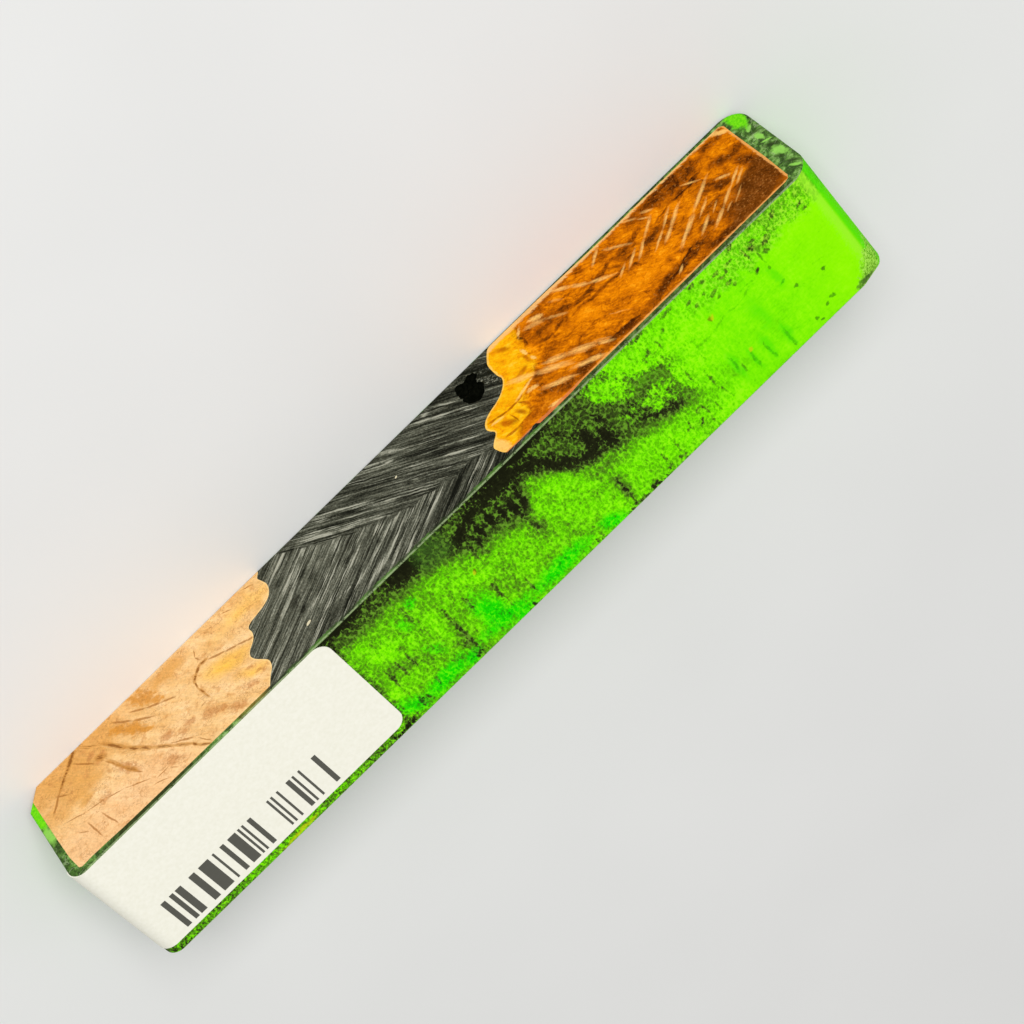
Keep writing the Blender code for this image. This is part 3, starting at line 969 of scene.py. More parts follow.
LIME_PLACES = [
    (18, -2, 16, -1.2, 1.8, 0.8), (13.8, -0.5, 13.2, 0.5, 1.3, 0.7), (10, -0.5, 9, 3, 1.9, 0.9),
    (20.3, 4, 19.7, 5, 1, 0.8), (-13.6, -2.5, -15.6, 2, 2.6, 0.9), (-11, 1, -14, 5, 2.2, 0.7),
    (-15, 4.5, -17.5, 8, 2.2, 0.9), (-21.5, 4.5, -22.5, 8, 1.6, 0.6), (-24.5, 5, -30, 8.5, 3.2, 0.9),
    (-28.5, -6.6, -31, -4.6, 2.4, 0.9), (-38, -4, -61, 3, 12, 1), (-36, 8, -50, 8, 3, 0.8),
    (-5, -1, -3, 1, 1.4, 0.4), (4, -1.5, 1, 0.5, 1.4, 0.6), (19, -5, 18, -4.6, 1.2, 0.5),
    (-27, -9, -31, -7, 2.8, 1), (56, 9.7, 28, 9.7, 1.1, 1),
]
SAWN_PITS = [
    (x - half, y, x + half, y + 0.1, 0.3 + half, strength)
    for x, y, half, strength in (
        (-33.5, -9.8, 0.25, 1), (-32.7, -9.9, 0.1, 1), (-38, -9.7, 0.3, 1), (-38.9, -9.6, 0.15, 0.9),
        (-42.7, -9.7, 0.2, 1), (-44.2, -9.1, 0.3, 1), (-49.9, -9.9, 0.15, 0.9), (-56.2, -9.1, 0.2, 0.9),
        (-46.1, -8.6, 0.12, 0.8), (-46.3, -7.5, 0.15, 0.9), (-47.2, -7.6, 0.12, 0.9), (-48.5, -8.2, 0.2, 1),
        (-44.5, -6.4, 0.25, 1), (-44.7, -5.4, 0.12, 0.9), (-46.8, -6, 0.2, 0.9), (-47.1, -5, 0.15, 0.9),
        (-41.3, -8, 0.15, 0.8), (-41.7, -6.9, 0.12, 0.7), (-43.4, -7.4, 0.12, 0.7), (-33, -6.8, 0.15, 0.9),
        (-36.2, -7.8, 0.12, 0.8), (-51.6, -7.4, 0.15, 0.9), (-52.4, -8.2, 0.15, 0.9),
        (-53.9, -6.7, 0.35, 1), (-53, -5.3, 0.2, 0.9), (-50.5, -4.1, 0.2, 1), (-59.8, -7.4, 0.2, 0.9),
        (-60.3, -6.2, 0.12, 0.9), (-52.1, 0.1, 0.1, 0.8), (-53.1, 2.3, 0.1, 0.8), (-57.2, 3.3, 0.1, 0.9),
        (-52.5, 8.6, 0.1, 0.8), (-54.7, 8.1, 0.1, 0.9), (-56, 7.5, 0.12, 0.9), (-53.2, 9.1, 0.05, 0.8),
        (-30.7, 6.9, 0.1, 0.9), (-33.2, 5.6, 0.1, 0.7), (-32.9, 7.4, 0.1, 0.7), (-28, 9.4, 0.35, 1),
        (-25.9, 9.2, 0.15, 0.8),
    )
]
FAINT_SCRATCHES = [
    *lines([(-38, -2), (-41, -1.9), (-43.5, -2.4), (-46, -2.3), (-49, -3.1)], 0.35, 0.8),
    (-36.5, -3.6, -39.5, -3.2, 0.3, 0.7), (-46, -3.8, -50, -3.4, 0.3, 0.5), (-55, 1.6, -61, 1.9, 0.3, 0.4),
]
RUST_SPECKS = [(1.5, -1.2, 1.5, -0.7, 0.4, 0.8), (-42, -4.2, -42, -3.6, 0.4, 0.7)]
GOLD_SPECKS = [
    (1.7, -1.1, 1.7, -0.6, 0.35, 0.9), (-43.9, 4.6, -43.7, 4.7, 0.5, 0.9),
    (-42.3, -4.1, -42.3, -3.6, 0.35, 0.8), (37, 9.7, 45, 9.9, 0.5, 0.7),
]
SANDED_CORNER = [(-60.5, 10.9, -65, 6.1, 2.3, 1)]
CORNER_SHADE = [(-59, 9.9, -62.2, 9.9, 0.8, 1)]
OUTER_DARK = [
    (24.5, 9.9, 19.5, 9.9, 0.8, 1), (9.8, 9.4, 7.2, 9.2, 0.8, 0.3), (-0.6, 10, -1.2, 10, 0.4, 0.8),
    (-11.5, 9.4, -13.6, 9.8, 0.8, 0.45), (-16.5, 10, -25, 9.9, 0.8, 0.95),
    (17.9, 7.8, 17.5, 8.8, 0.45, 0.5), (34, 10.3, 33, 10.3, 0.5, 0.7), (60, 10.3, 63, 10.3, 0.7, 0.8),
]


# %% [markdown]
# The level is made in two steps: first the green with its cloud, then the marks of saw and sander, which
# show only on the sawn side. The sides that the saw left plain get broad black swirls from slow noise.

# %% How much green shows
def green_grains(finish):
    """The noises of the sawn side, kept on the finish for the steps that share them."""
    finish.loose = finish.warped(finish.place, 1.7, 0.6, 4.0)
    finish.shaken = finish.warped(finish.place, 0.5, 0.8)
    finish.dashes = finish.grain(finish.aligned(finish.shaken, (0.45, 1.8, 1.8)), 1.0, 3.0, 0.65)
    finish.ripples = finish.grain(finish.aligned(finish.shaken, (1.3, 0.3, 0.3)), 1.0, 2.0)
    finish.fine = finish.grain(finish.shaken, 3.0, 4.0, 0.8)
    finish.clumps = finish.grain(finish.place, 0.55, 3.0, 0.6)
    curly_space = finish.warped(finish.place, 0.9, 1.6, 2.0)
    dots = finish.cells(finish.aligned(curly_space, (0.38, 0.64, 0.64)))
    finish.curls = finish.within(dots, 0.5, 0.78)
    texture = (finish.dashes - MIDDLE) * 0.6 + (finish.fine - MIDDLE) * 0.8
    finish.texture = texture + (finish.clumps - MIDDLE) * 0.35 + (dots - 0.46) * 0.34
    finish.on_top = finish.within(finish.z, HEIGHT - 3.4, HEIGHT - 1.0)


def black_cloud(finish):
    """How much of the black cloud and of its core lies over the green."""
    x, y = finish.x, finish.y
    cloud_edge = finish.edge_at(x, CLOUD_EDGE, (CLOUD_FROM, CLOUD_TO), (CLOUD_LOW, CLOUD_HIGH))
    frayed = (finish.dashes - MIDDLE) * 7.0 + (finish.clumps - MIDDLE) * 4.0
    cloud = finish.within(cloud_edge - y + frayed, -1.6, 1.8)
    cloud = cloud * finish.within(x + frayed * 0.3, -36.8, -34.4)
    bright = finish.drawn(BRIGHT_PATCHES, finish.texture * 0.6, 0.05, 0.45)
    haze = finish.spread(CLOUD_HAZE, 0.0, 0.8) * 0.8
    cloud = (cloud * (1 - bright)).at_least(haze * (0.75 + (finish.clumps - MIDDLE) * 2.0))
    core = finish.drawn(CLOUD_CORE, finish.texture * -1.0, 0.0, 0.7)
    return cloud, core


def green_level(finish):
    """How much green shows, from black at 0 to the brightest green at 1."""
    x, y = finish.x, finish.y
    mood = finish.grain(finish.place, 0.16, 3.0, 0.55)
    lime = finish.spread(LIME_PLACES, 0.0, 0.5)
    limed = finish.within(x, -24.0, -38.0)
    smooth = finish.within(x, -33.0, -44.0)
    striped = finish.within(x, -34.0, -48.0) * (finish.ripples - MIDDLE)
    at_ridge = finish.within(y + (finish.clumps - MIDDLE) * 5.0, -4.5, -7.0) * smooth
    calm = smooth * (1 - at_ridge * 0.75)
    busy = 1 - calm * 0.74
    cloud, core = black_cloud(finish)
    level = 0.68 + (mood - MIDDLE) * 0.35 + lime * 0.12 + limed * 0.11 - at_ridge * 0.12 + striped * 0.22
    level = level - finish.within(finish.ripples, 0.56, 0.7) * 0.08 * busy
    level = level - cloud * (0.36 + (mood - MIDDLE) * 0.4) - core * 0.27
    level = level + finish.texture * busy * (1 - core * 0.6) * (1 - cloud * 0.2)
    return level, at_ridge, busy


def marked_level(finish, level):
    """The level, lowered by the marks of the sawn side, by painted shade beside the label and by black
    swirls on the other sides.
    """
    x, texture, on_top = finish.x, finish.texture, finish.on_top
    near_ridge = finish.within(finish.y, -8.6, -10.4)
    level = level - near_ridge * 0.14 * finish.within(x, -30.0, -20.0)
    outer = finish.drawn(OUTER_DARK, texture * -1.6, 0.1, 0.8)
    level = level - outer * 0.42 * on_top
    # Painted shade: the green is darker in a thin band beside the label's edge.
    painted_shade_beside_label = finish.within(x, 20.1, 21.2) * 0.3 * finish.within(finish.fine, 0.6, 0.45)
    level = level - painted_shade_beside_label * on_top
    saw = finish.drawn(SAW_DASHES, texture * -1.0, 0.05, 0.7, finish.shaken)
    pits = finish.drawn(SAWN_PITS, texture * -0.5, 0.1, 0.6)
    scratches = finish.drawn(FAINT_SCRATCHES, texture * -0.6, 0.1, 0.7)
    level = level - (saw * 0.26 + pits * 0.3 + scratches * 0.12) * on_top
    swirl = finish.grain(finish.warped(finish.place, 9.0, 0.09, 2.0), 0.07, 4.0, 0.6)
    deep = finish.within(swirl + (finish.fine - MIDDLE) * 0.3, 0.52, 0.64)
    elsewhere = 1 - finish.within(finish.z, HEIGHT - 1.2, HEIGHT - 0.4)
    return level - deep * elsewhere * 0.6, pits


# %% The green resin
GREEN_RAMP = [
    (0, 24, 26, 12), (0.16, 38, 42, 20), (0.3, 54, 74, 24), (0.44, 74, 116, 24), (0.56, 84, 154, 16),
    (0.66, 92, 186, 8), (0.76, 104, 213, 4), (0.86, 118, 237, 2), (0.96, 137, 246, 4), (1, 148, 248, 14),
]
EMERALD_RAMP = [
    (0.3, 40, 84, 20), (0.46, 22, 150, 10), (0.6, 12, 204, 2), (0.74, 14, 226, 2), (0.9, 92, 242, 4),
]


def green_colours(finish, level, busy):
    """The colours inside the sawn side: emerald, lime, mist over the cloud and bright curls."""
    x, fine, curls = finish.x, finish.fine, finish.curls
    emerald = finish.drawn(EMERALD_PLACES, finish.texture, 0.0, 0.75)
    yellower = finish.within(x, -47.0, -62.0) * finish.within(level, 0.7, 0.85) * finish.on_top
    leaks = finish.drawn(GREEN_LEAKS, finish.texture, 0.05, 0.7)
    misty = finish.within(level, 0.66, 0.5) * finish.within(level, 0.12, 0.3) * busy
    lit = finish.within(level, 0.55, 0.7) * busy * (1 - emerald * 0.6)
    grey_mist = finish.within(x, 0.0, 2.5) * finish.within(x, 7.0, 5.0) * finish.within(finish.y, -5.0, -7.0)
    return finish.layered(
        finish.stops(level, GREEN_RAMP),
        (finish.stops(level, EMERALD_RAMP), emerald * 0.95),
        ((152, 250, 0), yellower * 0.6),
        ((60, 222, 4), leaks * 0.5),
        ((124, 178, 54), curls * misty * 0.45),
        ((150, 240, 30), curls * lit * 0.4),
        ((60, 100, 34), grey_mist * finish.within(fine, 0.3, 0.6) * 0.6),
    )


def green_edges(finish, green, at_ridge):
    """Specks, and what shows along the edges, at the end and at the sanded corner, painted highlights
    included.
    """
    x, y, fine, on_top = finish.x, finish.y, finish.fine, finish.on_top
    grains = finish.curls.at_least(finish.within(fine, 0.5, 0.68))
    pale_zone = at_ridge * finish.within(x, -36.0, -52.0) * grains
    rust = finish.spread(RUST_SPECKS, 0.1, 0.6)
    gold = finish.spread(GOLD_SPECKS, 0.1, 0.6)
    # Painted highlight: a lighter stripe where the rounded end begins to turn towards the light.
    end_highlight_stripe = finish.within(x + (fine - MIDDLE) * 3.0, -61.1, -62.2) * finish.within(x, -63.0, -62.6)
    end = finish.within(x, -62.6, -63.2)
    corner = finish.drawn(SANDED_CORNER, finish.texture * 1.2, 0.0, 0.5)
    speckled = finish.stops(fine, [(0.4, 62, 104, 26), (0.47, 130, 200, 44), (0.6, 184, 236, 100)])
    shade = finish.drawn(CORNER_SHADE, finish.texture * -1.2, 0.1, 0.7)
    # Painted highlight: thin pale lines along both long edges of the sawn side.
    edge_highlight = finish.within(y, 10.05, 10.3).at_least(finish.within(y, -10.1, -10.3)) * on_top
    return finish.layered(
        green,
        ((182, 228, 66), pale_zone * 0.46 * on_top),
        ((110, 96, 10), rust * 0.7),
        ((196, 206, 20), gold * 0.7),
        ((162, 243, 50), end_highlight_stripe * on_top * 0.6),
        ((84, 232, 4), end * on_top * 0.85),
        (speckled, corner * on_top * 0.9),
        ((58, 84, 38), shade * 0.8),
        ((158, 206, 100), edge_highlight * finish.within(fine, 0.38, 0.56) * 0.6),
    )


def green_resin():
    finish = Finish("green_resin", sanded=False)
    green_grains(finish)
    level, at_ridge, busy = green_level(finish)
    level, pits = marked_level(finish, level)
    green = green_colours(finish, level, busy)
    finish.give(
        Base_Color=green_edges(finish, green, at_ridge),
        Roughness=finish.within(finish.dashes, 0.3, 0.7, 0.62, 0.45),
        Specular_IOR_Level=LOW_GLOSS,
        Normal=finish.relief(finish.dashes * 0.6 + finish.fine * 0.4 - pits * 0.6, 0.4, 0.14),
    )
    return finish.material


resin_sawn_material = green_resin()

# %% [markdown]
# ## The pale burl
#
# Close to the bark this burl is cream and peach. Thin brown cracks and bark lines run across it, with a
# small knot, orange stains near them and a golden tip at the live edge.

# %% Marks on the pale burl
PALE_CRACKS = [
    *lines([(54.4, -0.4), (57.6, 2.7)], 0.55, 1),
    *lines([(57, 2.1), (59.4, 4.4)], 0.4, 0.9),
    *lines([(51.4, 3.4), (49, 7.7), (47.7, 9.4), (46.6, 11)], 0.5, 0.78),
    *lines([(46.6, 11), (43.8, 14), (42, 16.2)], 0.4, 0.7),
    (52.9, 4.8, 52.3, 5.4, 0.85, 0.6),
    *lines([(42, 16.2), (41.4, 17.2), (40, 18.9)], 0.3, 0.85),
    *lines([(34, 5.9), (35.2, 5.8), (36.3, 6.6), (37, 7.6)], 0.36, 0.9),
    *lines([(37, 7.6), (37.1, 9), (36.8, 11), (36.6, 11.8)], 0.2, 0.8),
    *lines([(52, 6.6), (50.8, 10), (49.6, 12.4)], 0.5, 0.5),
    (53.8, 0, 54.2, 0.1, 0.45, 0.9), (53.8, 0.8, 52, 3, 0.14, 0.7), (54.2, 0.8, 52.7, 2.6, 0.12, 0.6),
    (25, 0.65, 23.3, 1.45, 0.16, 0.6),
]
PALE_LINES = [
    *lines([(59.4, 4.4), (61.8, 7)], 0.3, 0.9),
    *lines([(52.3, 6.5), (51.4, 8.5), (51, 9.5), (50.3, 11.3), (49.2, 13.3)], 0.18, 0.8),
    *lines([(48.8, 1.6), (46.4, 4.4), (43.8, 6.8)], 0.26, 0.85),
    *lines([(46, 2.8), (44, 4.4), (42.2, 5.7), (40, 7)], 0.28, 0.7),
    *lines([(61.2, 9.9), (58, 11.2), (55, 12), (52.3, 13.2), (48.5, 15.6)], 0.16, 0.6),
    *lines([(33.8, 6.2), (31.5, 7.5), (29.8, 8.2), (28.3, 9.1), (27.5, 9.4)], 0.26, 0.9),
    *lines([(44.4, 12.8), (41, 16), (39.5, 18.8)], 0.14, 0.6),
    *lines([(34.7, 2.8), (35.1, 4), (34.8, 5)], 0.16, 0.7),
    (58.6, 6.2, 60.4, 4.6, 0.2, 0.7), (56.2, 2, 53.6, 5.4, 0.22, 0.8), (58.7, 12.8, 57.9, 17.2, 0.2, 0.75),
    (56.4, 13.6, 55.4, 17.3, 0.2, 0.8), (60.4, 13, 59.1, 14.5, 0.14, 0.6),
    (47.9, 16.3, 46, 16.2, 0.14, 0.7), (46, 16.6, 45.1, 17.6, 0.12, 0.6), (49, 16.7, 46.5, 18, 0.14, 0.6),
    (43.2, 13.8, 41, 15.7, 0.14, 0.6), (36.3, 1.4, 35.7, 0.7, 0.14, 0.6), (29.1, 1.2, 27.3, 2.2, 0.16, 0.6),
    (38.2, 12.2, 37.4, 12, 0.14, 0.6),
]
PALE_RIM = lines(PALE_LIVE_EDGE, 0.4, 1.0)
PALE_ORANGE_STAINS = [
    (48.9, 3.3, 48.1, 4.1, 1.1, 0.9), (47.7, 4.7, 46.6, 5.8, 1.5, 1), (44.9, 0.9, 44.2, 1.6, 1.1, 0.8),
    (44, 1.9, 42.8, 3.1, 1.7, 0.9), (42.8, 4.3, 42, 5.1, 1, 0.9), (46.6, 6.5, 45.2, 7.7, 0.8, 0.9),
    (46, 7.4, 44.6, 8, 0.8, 0.6),
]
PALE_BROWN_STAINS = [
    (40.9, 12.6, 40.1, 13, 0.9, 0.8), (42.4, 13, 41.4, 13.5, 0.8, 0.7), (44.4, 11.2, 43.6, 11.8, 0.8, 0.7),
    (38.3, 13.8, 37.2, 14.8, 1.2, 0.9), (37.2, 14.8, 35.6, 16, 1.1, 0.9), (35.2, 16.6, 33.6, 18.1, 1, 0.9),
    (31.6, 15.9, 30.8, 16.3, 0.8, 0.8), (30.8, 13, 30, 13.4, 0.6, 0.6), (29.7, 15, 29, 15.4, 0.6, 0.7),
    (45.6, 15.2, 44, 16.8, 1.3, 0.8), (52.2, 4.9, 53, 5.5, 0.8, 1), (53.2, 3.4, 53.8, 3.8, 0.7, 0.7),
    (51.2, 9, 49.6, 12, 1, 0.8), (33, 15, 31.4, 16, 0.9, 0.5), (39.2, 17, 38.6, 17.6, 0.8, 0.5),
    (55.4, 11.8, 54.6, 12.2, 0.8, 0.6),
]
PALE_TAN = [
    (50, 1.5, 63, 2.5, 5.5, 0.8), (54, 6, 62, 7, 3.5, 0.7), (41, 2.2, 37, 2.2, 2.2, 0.7),
    (56.5, 9.2, 57.5, 9.6, 1.6, 0.5),
]
PALE_GOLD = [(29.5, 10.3, 34.5, 8.6, 2.6, 1), (28.4, 15, 32, 13, 1.8, 0.5), (22.5, 3, 30, 4, 3.4, 0.5)]
PALE_LIGHT_LINES = [
    *lines([(51.7, 3.5), (49.5, 7.4), (48.2, 9), (47.1, 10.6), (44.3, 13.6), (42.4, 15.8)], 0.22, 0.9),
    *lines([(41.6, 16.6), (40.3, 18.8)], 0.25, 0.9),
    *lines([(46.2, 6.2), (44, 8.6)], 0.5, 0.4),
]


# %% The pale burl
PALE_GRAIN_TURN = (0.0, math.radians(52.0), 0.0)


def pale_burl_wood():
    finish = Finish("pale_burl_wood")
    finish.loose = finish.warped(finish.place, 0.4, 0.7, 3.0)
    looser = finish.warped(finish.place, 2.4, 0.35, 3.0)
    figure = finish.grain(finish.aligned(looser, (5.0, 4.0, 1.5), PALE_GRAIN_TURN), 1.0, 4.0, 0.6)
    cloudy = finish.grain(finish.place, 0.22, 3.0)
    fibre = finish.grain(finish.aligned(finish.loose, (1.5, 1.2, 0.2), PALE_GRAIN_TURN), 1.0, 3.0, 0.65)
    pores = finish.grain(finish.place, 3.4, 3.0, 0.7)
    patches = finish.grain(finish.place, 0.4, 3.0, 0.6)
    wood = finish.stops(
        figure * 0.6 + cloudy * 0.4,
        [(0.34, 222, 167, 98), (0.45, 237, 188, 122), (0.56, 245, 201, 140), (0.68, 251, 213, 160)],
    )
    blush = finish.within(finish.z, 8.0, 15.0) * finish.within(finish.x, 38.0, 48.0)
    tan = finish.spread(PALE_TAN, 0.0, 0.5, looser)
    gold = finish.spread(PALE_GOLD, 0.0, 0.8, looser) * finish.within(figure, 0.25, 0.6, 0.6, 1.0)
    mottle = finish.within(finish.grain(finish.warped(finish.place, 1.2, 0.9), 0.75, 3.0, 0.6), 0.54, 0.72)
    stained = finish.warped(finish.place, 1.9, 0.9, 4.0)
    curly = finish.grain(finish.warped(finish.place, 1.4, 1.1, 3.0), 1.3, 3.0, 0.65)
    rust = finish.drawn(PALE_ORANGE_STAINS, (curly - MIDDLE) * 1.6, -0.05, 0.65, stained)
    brown = finish.drawn(PALE_BROWN_STAINS, (curly - MIDDLE) * 2.0, -0.05, 0.7, stained)
    wriggles = finish.lines_of(curly, 0.03) * brown.at_least(finish.within(patches, 0.48, 0.6) * 0.8)
    threads = finish.lines_of(finish.grain(looser, 0.6, 2.0), 0.012) * finish.within(patches, 0.42, 0.56)
    thin = finish.drawn(PALE_LINES, (fibre - MIDDLE) * 0.8, 0.05, 0.5)
    pale_lines = finish.spread(PALE_LIGHT_LINES, 0.1, 0.7)
    bark = finish.marks(PALE_CRACKS)
    wide = finish.within(bark, 0.0, 0.3)
    cracks = finish.within(bark + (fibre - MIDDLE) * 1.6, 0.4, 0.75) * wide
    wood = finish.layered(
        wood,
        ((247, 197, 148), blush * 0.5),
        ((222, 162, 84), tan * 0.8),
        ((250, 192, 78), gold),
        ((210, 148, 84), mottle * 0.6),
        ((210, 138, 44), rust * 0.78),
        ((196, 130, 72), brown * 0.6),
        ((166, 106, 56), wriggles * 0.75),
        ((190, 130, 72), threads * 0.7),
        ((168, 108, 48), thin * 0.75),
        ((254, 218, 156), pale_lines * 0.6),
        ((200, 140, 68), wide * 0.7),
        ((130, 76, 26), cracks * 0.8),
    )
    wood = finish.shaded(wood, 0.985 + (fibre - MIDDLE) * 0.4 + (pores - MIDDLE) * 0.65)
    live_rim = finish.spread(PALE_RIM, 0.3, 0.7, finish.place)
    rim = finish.within(finish.z + (fibre - MIDDLE), 0.4, 0.1)
    finish.give(
        Base_Color=finish.layered(wood, ((255, 220, 150), live_rim * 0.55), ((252, 222, 178), rim * 0.6)),
        Roughness=finish.within(fibre, 0.3, 0.7, 0.62, 0.5),
        Specular_IOR_Level=LOW_GLOSS,
        Normal=finish.relief(fibre * 0.6 + pores * 0.3 - cracks * 0.7 - thin * 0.3, 0.4, 0.12),
    )
    return finish.material


pale_material = pale_burl_wood()

# %% [markdown]
# ## The orange burl
#
# The heartwood is deep orange to red-brown with the restless figure of burl, and the sapwood along the
# live edge is yellow. Scratches from the sanding disc cross it and fill with pale dust.

# %% Marks on the orange burl
SAPWOOD_EDGE = (
    (0, -24.4), (1.8, -23.8), (3.5, -23.2), (4.8, -22.7), (7, -22.9), (8.5, -23.1), (9.8, -22.5),
    (10.8, -21.3), (12, -18.9), (14, -18.2), (15.8, -17.9), (16.8, -15.6), (19.5, -14.2),
)
ORANGE_RIM = lines(ORANGE_LIVE_EDGE, 0.45, 1.0)
FALLING_SCRATCHES = [
    *lines([(-18.3, 8.7), (-21.5, 11), (-25.7, 14.5)], 0.8, 1),
    *lines([(-23.4, 11), (-26, 12.7), (-29.5, 15.3)], 0.8, 1),
    *lines([(-30.5, 1.2), (-32.7, 3.2), (-34.5, 5.3), (-37.7, 7.9)], 0.5, 0.9),
    *lines([(-29.6, 15.4), (-31.4, 17.2)], 0.5, 0.7),
    (-20.8, 14.3, -24.8, 16.9, 0.7, 0.95), (-25.3, 15.5, -29.4, 18.1, 0.7, 0.95),
    (-24.8, 2.9, -27.2, 4.2, 0.8, 0.6), (-27.5, 4.5, -29.8, 6.6, 0.5, 0.55),
    (-38.8, 2.3, -42, 5.6, 0.4, 0.7), (-45.7, 2.3, -47, 3.5, 0.4, 0.7), (-44.9, 3, -46, 4.3, 0.3, 0.7),
    (-51.6, 4.1, -53.8, 6, 0.35, 0.65), (-43.2, 1, -45, 2.6, 0.4, 0.6), (-29, 2, -31, 4, 0.4, 0.4),
    (-33, 12.5, -36, 15.5, 0.3, 0.35), (-29, 14, -32, 17, 0.3, 0.45),
]
RISING_SCRATCHES = [
    *lines([(-46.4, 4.2), (-43.5, 6.8), (-41.1, 9.1)], 0.4, 1),
    *lines([(-48.5, 5.8), (-46, 8.1), (-43.2, 10.3)], 0.34, 0.9),
    *lines([(-49.9, 6.5), (-46.9, 8.9), (-45.1, 10.3)], 0.5, 0.95),
    *lines([(-54.7, 6.6), (-50, 10), (-45.6, 13.5)], 0.5, 1),
    *lines([(-58.1, 9.7), (-56, 11.3), (-53.3, 13.3), (-50.4, 15.4)], 0.4, 0.9),
    (-38.6, 1.4, -36.6, 3.3, 0.42, 0.9), (-39.6, 7.6, -37.8, 9.1, 0.34, 0.8),
    (-41.8, 6.9, -39.2, 9.2, 0.36, 0.85), (-49.7, 10.4, -47.3, 12.3, 0.6, 0.9),
    (-55.3, 8.4, -56.8, 9.5, 0.4, 0.8), (-58.6, 10.4, -56.4, 12, 0.35, 0.7),
    (-54.5, 13.7, -53, 14.6, 0.3, 0.6), (-51, 12.6, -48.8, 14.4, 0.5, 0.75),
    (-52.6, 9.7, -50.3, 11.6, 0.4, 0.7), (-43.2, 16.8, -44, 16.2, 0.35, 0.9),
    (-57, 12.6, -54.4, 14.6, 0.3, 0.5), (-53.2, 11.5, -51.6, 12.8, 0.3, 0.6),
]
BURL_BRIGHT = [
    (-30.5, 9.6, -33.5, 11.2, 2.8, 0.9), (-37.5, 12, -41, 13.2, 2.8, 1), (-35.2, 3.4, -36.8, 4.2, 1.6, 0.8),
    (-41.5, 3, -43, 4.2, 1.6, 0.7), (-35, 10, -38, 11, 2.4, 0.7), (-43.5, 12.4, -46.5, 11, 2, 0.7),
    (-31, 13.5, -36, 15, 1.6, 0.5), (-50.4, 15.2, -51.6, 16.4, 1.2, 0.7), (-54.4, 3.4, -58, 4.4, 1.8, 0.5),
    (-56.5, 10.2, -59, 8.6, 1.3, 0.5), (-49.5, 9, -51.5, 8, 1.2, 0.4),
]
BURL_DARK = [
    (-24, 3, -29.5, 8, 3.4, 0.35), (-22, 17.2, -29, 17.2, 1.5, 1), (-29, 17, -37, 17.7, 1.2, 0.6),
    (-38.5, 17.4, -43.5, 15.6, 1.4, 0.95), (-44, 16.2, -48.5, 15, 1.3, 0.9), (-46, 2.4, -55, 3, 2.2, 1),
    (-47, 1.8, -54, 2, 1.3, 0.9), (-57, 2, -60, 2.4, 1, 0.9), (-50, 5, -53.5, 5.2, 1.2, 0.8),
    (-54.4, 9.6, -56.4, 10.4, 1.1, 0.9), (-52, 11.5, -54, 11.5, 1, 0.8), (-49, 13.4, -51, 14.2, 0.9, 0.7),
    (-54, 15.2, -61, 14.8, 3.8, 1), (-59, 8, -61, 13, 1.6, 0.8), (-56, 5.6, -60, 7.2, 1.6, 0.6),
    (-47.5, 17.8, -57, 17.8, 1.2, 0.8), (-20, 14.6, -23, 16.2, 1.2, 0.6),
    (-42.8, 7.6, -45.4, 7.4, 0.9, 0.8),
]
BURL_CORNER = [
    (-54.5, 16.4, -61, 14.6, 2.6, 1), (-57, 13.6, -61, 12.4, 2.4, 1), (-51.6, 17.6, -60, 17.4, 1.3, 0.9),
]
BURL_VEINS = [
    *lines(
        [(-29.8, 5.4), (-31.2, 6.4), (-33.2, 6.8), (-35.2, 6.2), (-38, 5.2), (-42, 5.4), (-44, 4.4)], 0.8, 1
    ),
    *lines([(-32.5, 8.2), (-36, 8), (-39, 8.3)], 0.6, 0.8),
    *lines([(-40, 9), (-41.2, 10.4)], 0.35, 0.8),
    *lines([(-24, 6.8), (-27, 7.8), (-28.8, 6.8)], 0.5, 0.6),
    *lines([(-23, 2.4), (-23.6, 4.2), (-23.2, 6)], 0.35, 0.7),
    *lines([(-46, 6.2), (-49, 5.2), (-52, 5.6), (-55, 4.6)], 0.4, 0.7),
    *lines([(-30, 16.2), (-33, 16.9), (-37, 17.2)], 0.4, 0.5),
    *lines([(-41.5, 16.8), (-44.5, 15.8), (-47, 14.6)], 0.4, 0.9),
]
SAP_SEAMS = [
    *lines([(-12.8, 11.8), (-14, 12.1), (-15.6, 12.6), (-17.4, 12.6), (-18.4, 12.1)], 0.32, 1),
    *lines([(-13.2, 16.2), (-15, 16.5), (-18, 16.2)], 0.4, 0.9),
    *lines([(-17.4, 12.9), (-18.3, 14.2), (-17.9, 16)], 0.32, 0.8),
    (-15.6, 13.4, -15.8, 16, 0.2, 0.7), (-15.4, 17.2, -22, 16.9, 1.1, 1),
    (-14, 13.6, -15.6, 15.4, 0.9, 0.6), (-16.4, 13.6, -17.2, 15.6, 0.6, 0.55),
    (-20, 2, -21.4, 3.4, 0.8, 0.5), (-19.6, 9.2, -21.4, 8.6, 0.8, 0.5), (-22, 6.5, -22.2, 8.5, 0.5, 0.6),
]
BURL_CREAM = [
    (-11.6, 15, -12.4, 18.2, 1.1, 1), (-12.8, 12.4, -15, 12.9, 0.35, 0.6),
    (-17.2, 12.3, -20.9, 11.2, 0.35, 0.7), (-22.4, 5.6, -22.5, 6.8, 0.4, 0.8),
    (-22.7, 7.9, -22.9, 8.9, 0.3, 0.8), (-19.3, 12.6, -20.5, 13, 0.6, 0.6),
    (-20, 18.1, -21.5, 18.6, 0.6, 0.8), (-59.4, 1.1, -61.2, 2.8, 0.6, 1),
    (-24.4, 1.6, -23.2, 3.4, 0.4, 0.5), (-26, 2.4, -27.2, 3.2, 0.8, 0.6),
]


# %% [markdown]
# Heart and sap are two ramps. A curve through points gives the border between them at each height, and
# noise frays it. Seams, cream spots, dusty scratches and pale rims are then laid over both in turn.

# %% Heartwood and sapwood
SAPWOOD_LOW, SAPWOOD_HIGH = -25.0, -10.0


